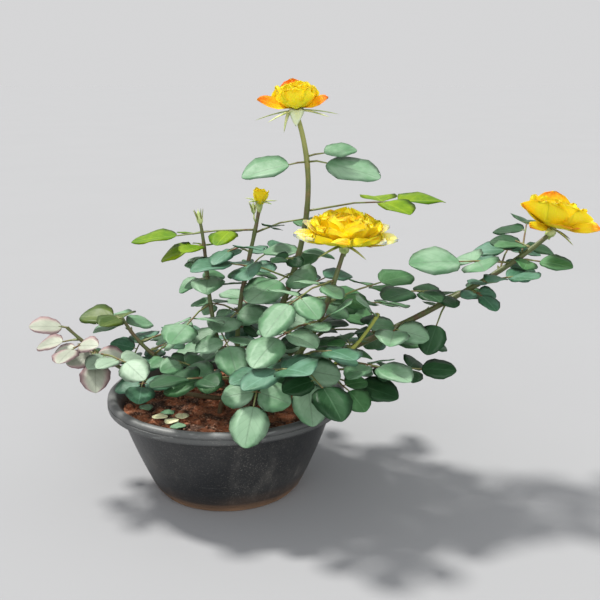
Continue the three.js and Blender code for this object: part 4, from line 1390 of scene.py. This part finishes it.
greens = Bundle()
for number, (name, foot, radius, _, axis, sepals) in enumerate(bush.blooms):
    dice = Dice(60 + number)
    small = radius < 20
    hip = 3.6 if small else 5.6
    cup = [foot + axis * d for d in CUP_HEIGHTS]
    tube(greens, cup, [2, 2.6, hip * 0.9, hip, hip * 0.94, hip * 0.7], 12, 0)
    for k in range(5):
        out = fifth_way(axis, k, dice.spread(12))
        way = unit(out + axis * (0.2 if small else -0.06))
        side = unit(cross(axis, way))
        length = sepals * (1 + dice.spread(0.12))
        finishes = (0, 0) if name in ("top", "bud") else (0, 1)
        sepal(greens, foot + axis * 6 + way * 3, way, side, length, 0.12, 2.8, finishes)


BUD_PROFILE = [(0, 0.12), (0.12, 0.2), (0.3, 0.24), (0.5, 0.23), (0.75, 0.14), (0.95, 0.05)]


def closed_bud(bundle, foot, axis, length, seed):
    dice = Dice(seed)
    middle = [foot + axis * length * high for high, _ in BUD_PROFILE]
    tube(bundle, middle, [length * wide for _, wide in BUD_PROFILE], 10, 0)
    for k in range(5):
        out = fifth_way(axis, k, dice.spread(10))
        way = unit(axis + out * 0.16)
        start = foot + axis * length * 0.2 + out * length * 0.18
        sepal(bundle, start, way, unit(cross(axis, way)), length * 0.95, 0.08, length * 0.085)


# The top bloom has one broad, leaf-like sepal that hangs in front of its stem
top_foot = bush.limbs["top"].at(1)
hanging = unit(heading(-95, 0) * 0.5 - vec(0, 0, 1))
sepal(greens, top_foot + heading(-95, 0) * 5 + vec(0, 0, 8), hanging, vec(1, 0, 0), 21, -0.1, 8.5, (2, 2))
curled = unit(heading(-150, 0) * 0.6 - vec(0, 0, 1))
sepal(greens, top_foot + heading(-160, 0) * 7 + vec(0, 0, 6), curled, vec(0.6, -0.8, 0), 24, 0.2, 3.4)
closed_bud(greens, bush.limbs["left"].at(1), heading(150, 78), 15, 5)
twig_foot = bush.limbs["bud"].at(0.9)
twig_bend = twig_foot + heading(-120, 50) * 8
tube(greens, [twig_foot, twig_bend, twig_bend + vec(0, 0, 7)], (1.1, 0.9, 0.9), 6, 0)
closed_bud(greens, twig_bend + vec(0, 0, 6), heading(-120, 80), 12, 6)
green_piece = greens.piece("green_cups")

SEPAL_GREEN = (0.2, 0.32, 0.07)
SEPAL_PALE = (0.6, 0.66, 0.3)
SEPAL_WHITE = (0.66, 0.76, 0.62)

cup_skin = mottled("sepal_skin", 120.0, SEPAL_GREEN, STALK_RED, roughness=0.5)
white_skin = mottled("sepal_white", 200.0, SEPAL_PALE, SEPAL_WHITE, roughness=0.6)
pale_skin = mottled("sepal_inside", 120.0, SEPAL_GREEN, SEPAL_PALE, (0.3, 0.6), roughness=0.6)
dressed(green_piece, "foliage", [pale_skin, cup_skin, white_skin], *shoot_nodes)

# %% [markdown]
# ## Fallen leaflets
#
# Small round leaflets lie on the earth at the left of the pot, some yellow and some still green.
# They are leaflet sheets too, laid flat on the soil at the places that the source gives them.

# %% Leaflets on the earth
LITTER_LENGTH = 17
LITTER = [(-68, -54, "yellow"), (-54, -63, "yellow"), (-45, -49, "yellow"), (-63, -36, "mint"),
          (-46, -76, "mint"), (-98, 2, "mid"), (-88, -22, "mint")]

fallen = Bundle()
dice = Dice(31)
for k, (x, y, tint) in enumerate(LITTER):
    way = heading(50 * k, 4)
    base = vec(x, y, ground(x, y) + 3.4) - way * LITTER_LENGTH / 2
    leaflet_sheet(fallen, Blade(base, way, vec(0, 0, 1), LITTER_LENGTH), tint, dice)
fallen_piece = fallen.piece("fallen_leaflets")
dressed(fallen_piece, "soil", leaf_skins, "soil")

# %% [markdown]
# ## Stage and light
#
# The photograph has high sun from behind on the left, which makes the upper sides of the leaves
# pale and throws the shadow to the front right. Here one softened sun lamp does the same, a very
# wide one over the camera's shoulder opens the shadows, and a pale room lights all the rest. Sun
# lamps light the floor evenly, so it stays one plain tone as far as it goes.

# %% Pale floor and soft lamps
AIM = Vector((0.07, 0, 0.2))
FLOOR_SIZE = 30
FLOOR_GREYS = ((0.323, 0.329, 0.342), (0.335, 0.341, 0.354))

alone()
bpy.ops.mesh.primitive_plane_add(size=FLOOR_SIZE, location=(0, 0, 0))
floor = bpy.context.object
floor.name = "pale_floor"
floor_skin = mottled("pale_floor", 3.0, *FLOOR_GREYS, roughness=1, specular_ior_level=0)
floor.data.materials.append(floor_skin.material)


def lamp(name, place, spread, strength, colour):
    data = bpy.data.lights.new(name, "SUN")
    data.angle, data.energy, data.color = radians(spread), strength, colour
    light = bpy.data.objects.new(name, data)
    light.location = place
    light.rotation_euler = (AIM - Vector(place)).to_track_quat("-Z", "Y").to_euler()
    bpy.context.scene.collection.objects.link(light)


lamp("high_back_left", (-0.8, 0.5, 2.1), 9, 4.2, (1, 0.97, 0.92))
lamp("front_soft", (0.3, -2.4, 1.5), 60, 1.2, (1, 1, 1))
world = bpy.data.worlds.new("pale_room")
world.use_nodes = True
room_light = world.node_tree.nodes["Background"].inputs
room_light["Color"].default_value = (0.93, 0.93, 0.94, 1)
room_light["Strength"].default_value = 0.72
bpy.context.scene.world = world
bpy.context.scene.view_settings.view_transform = "Standard"
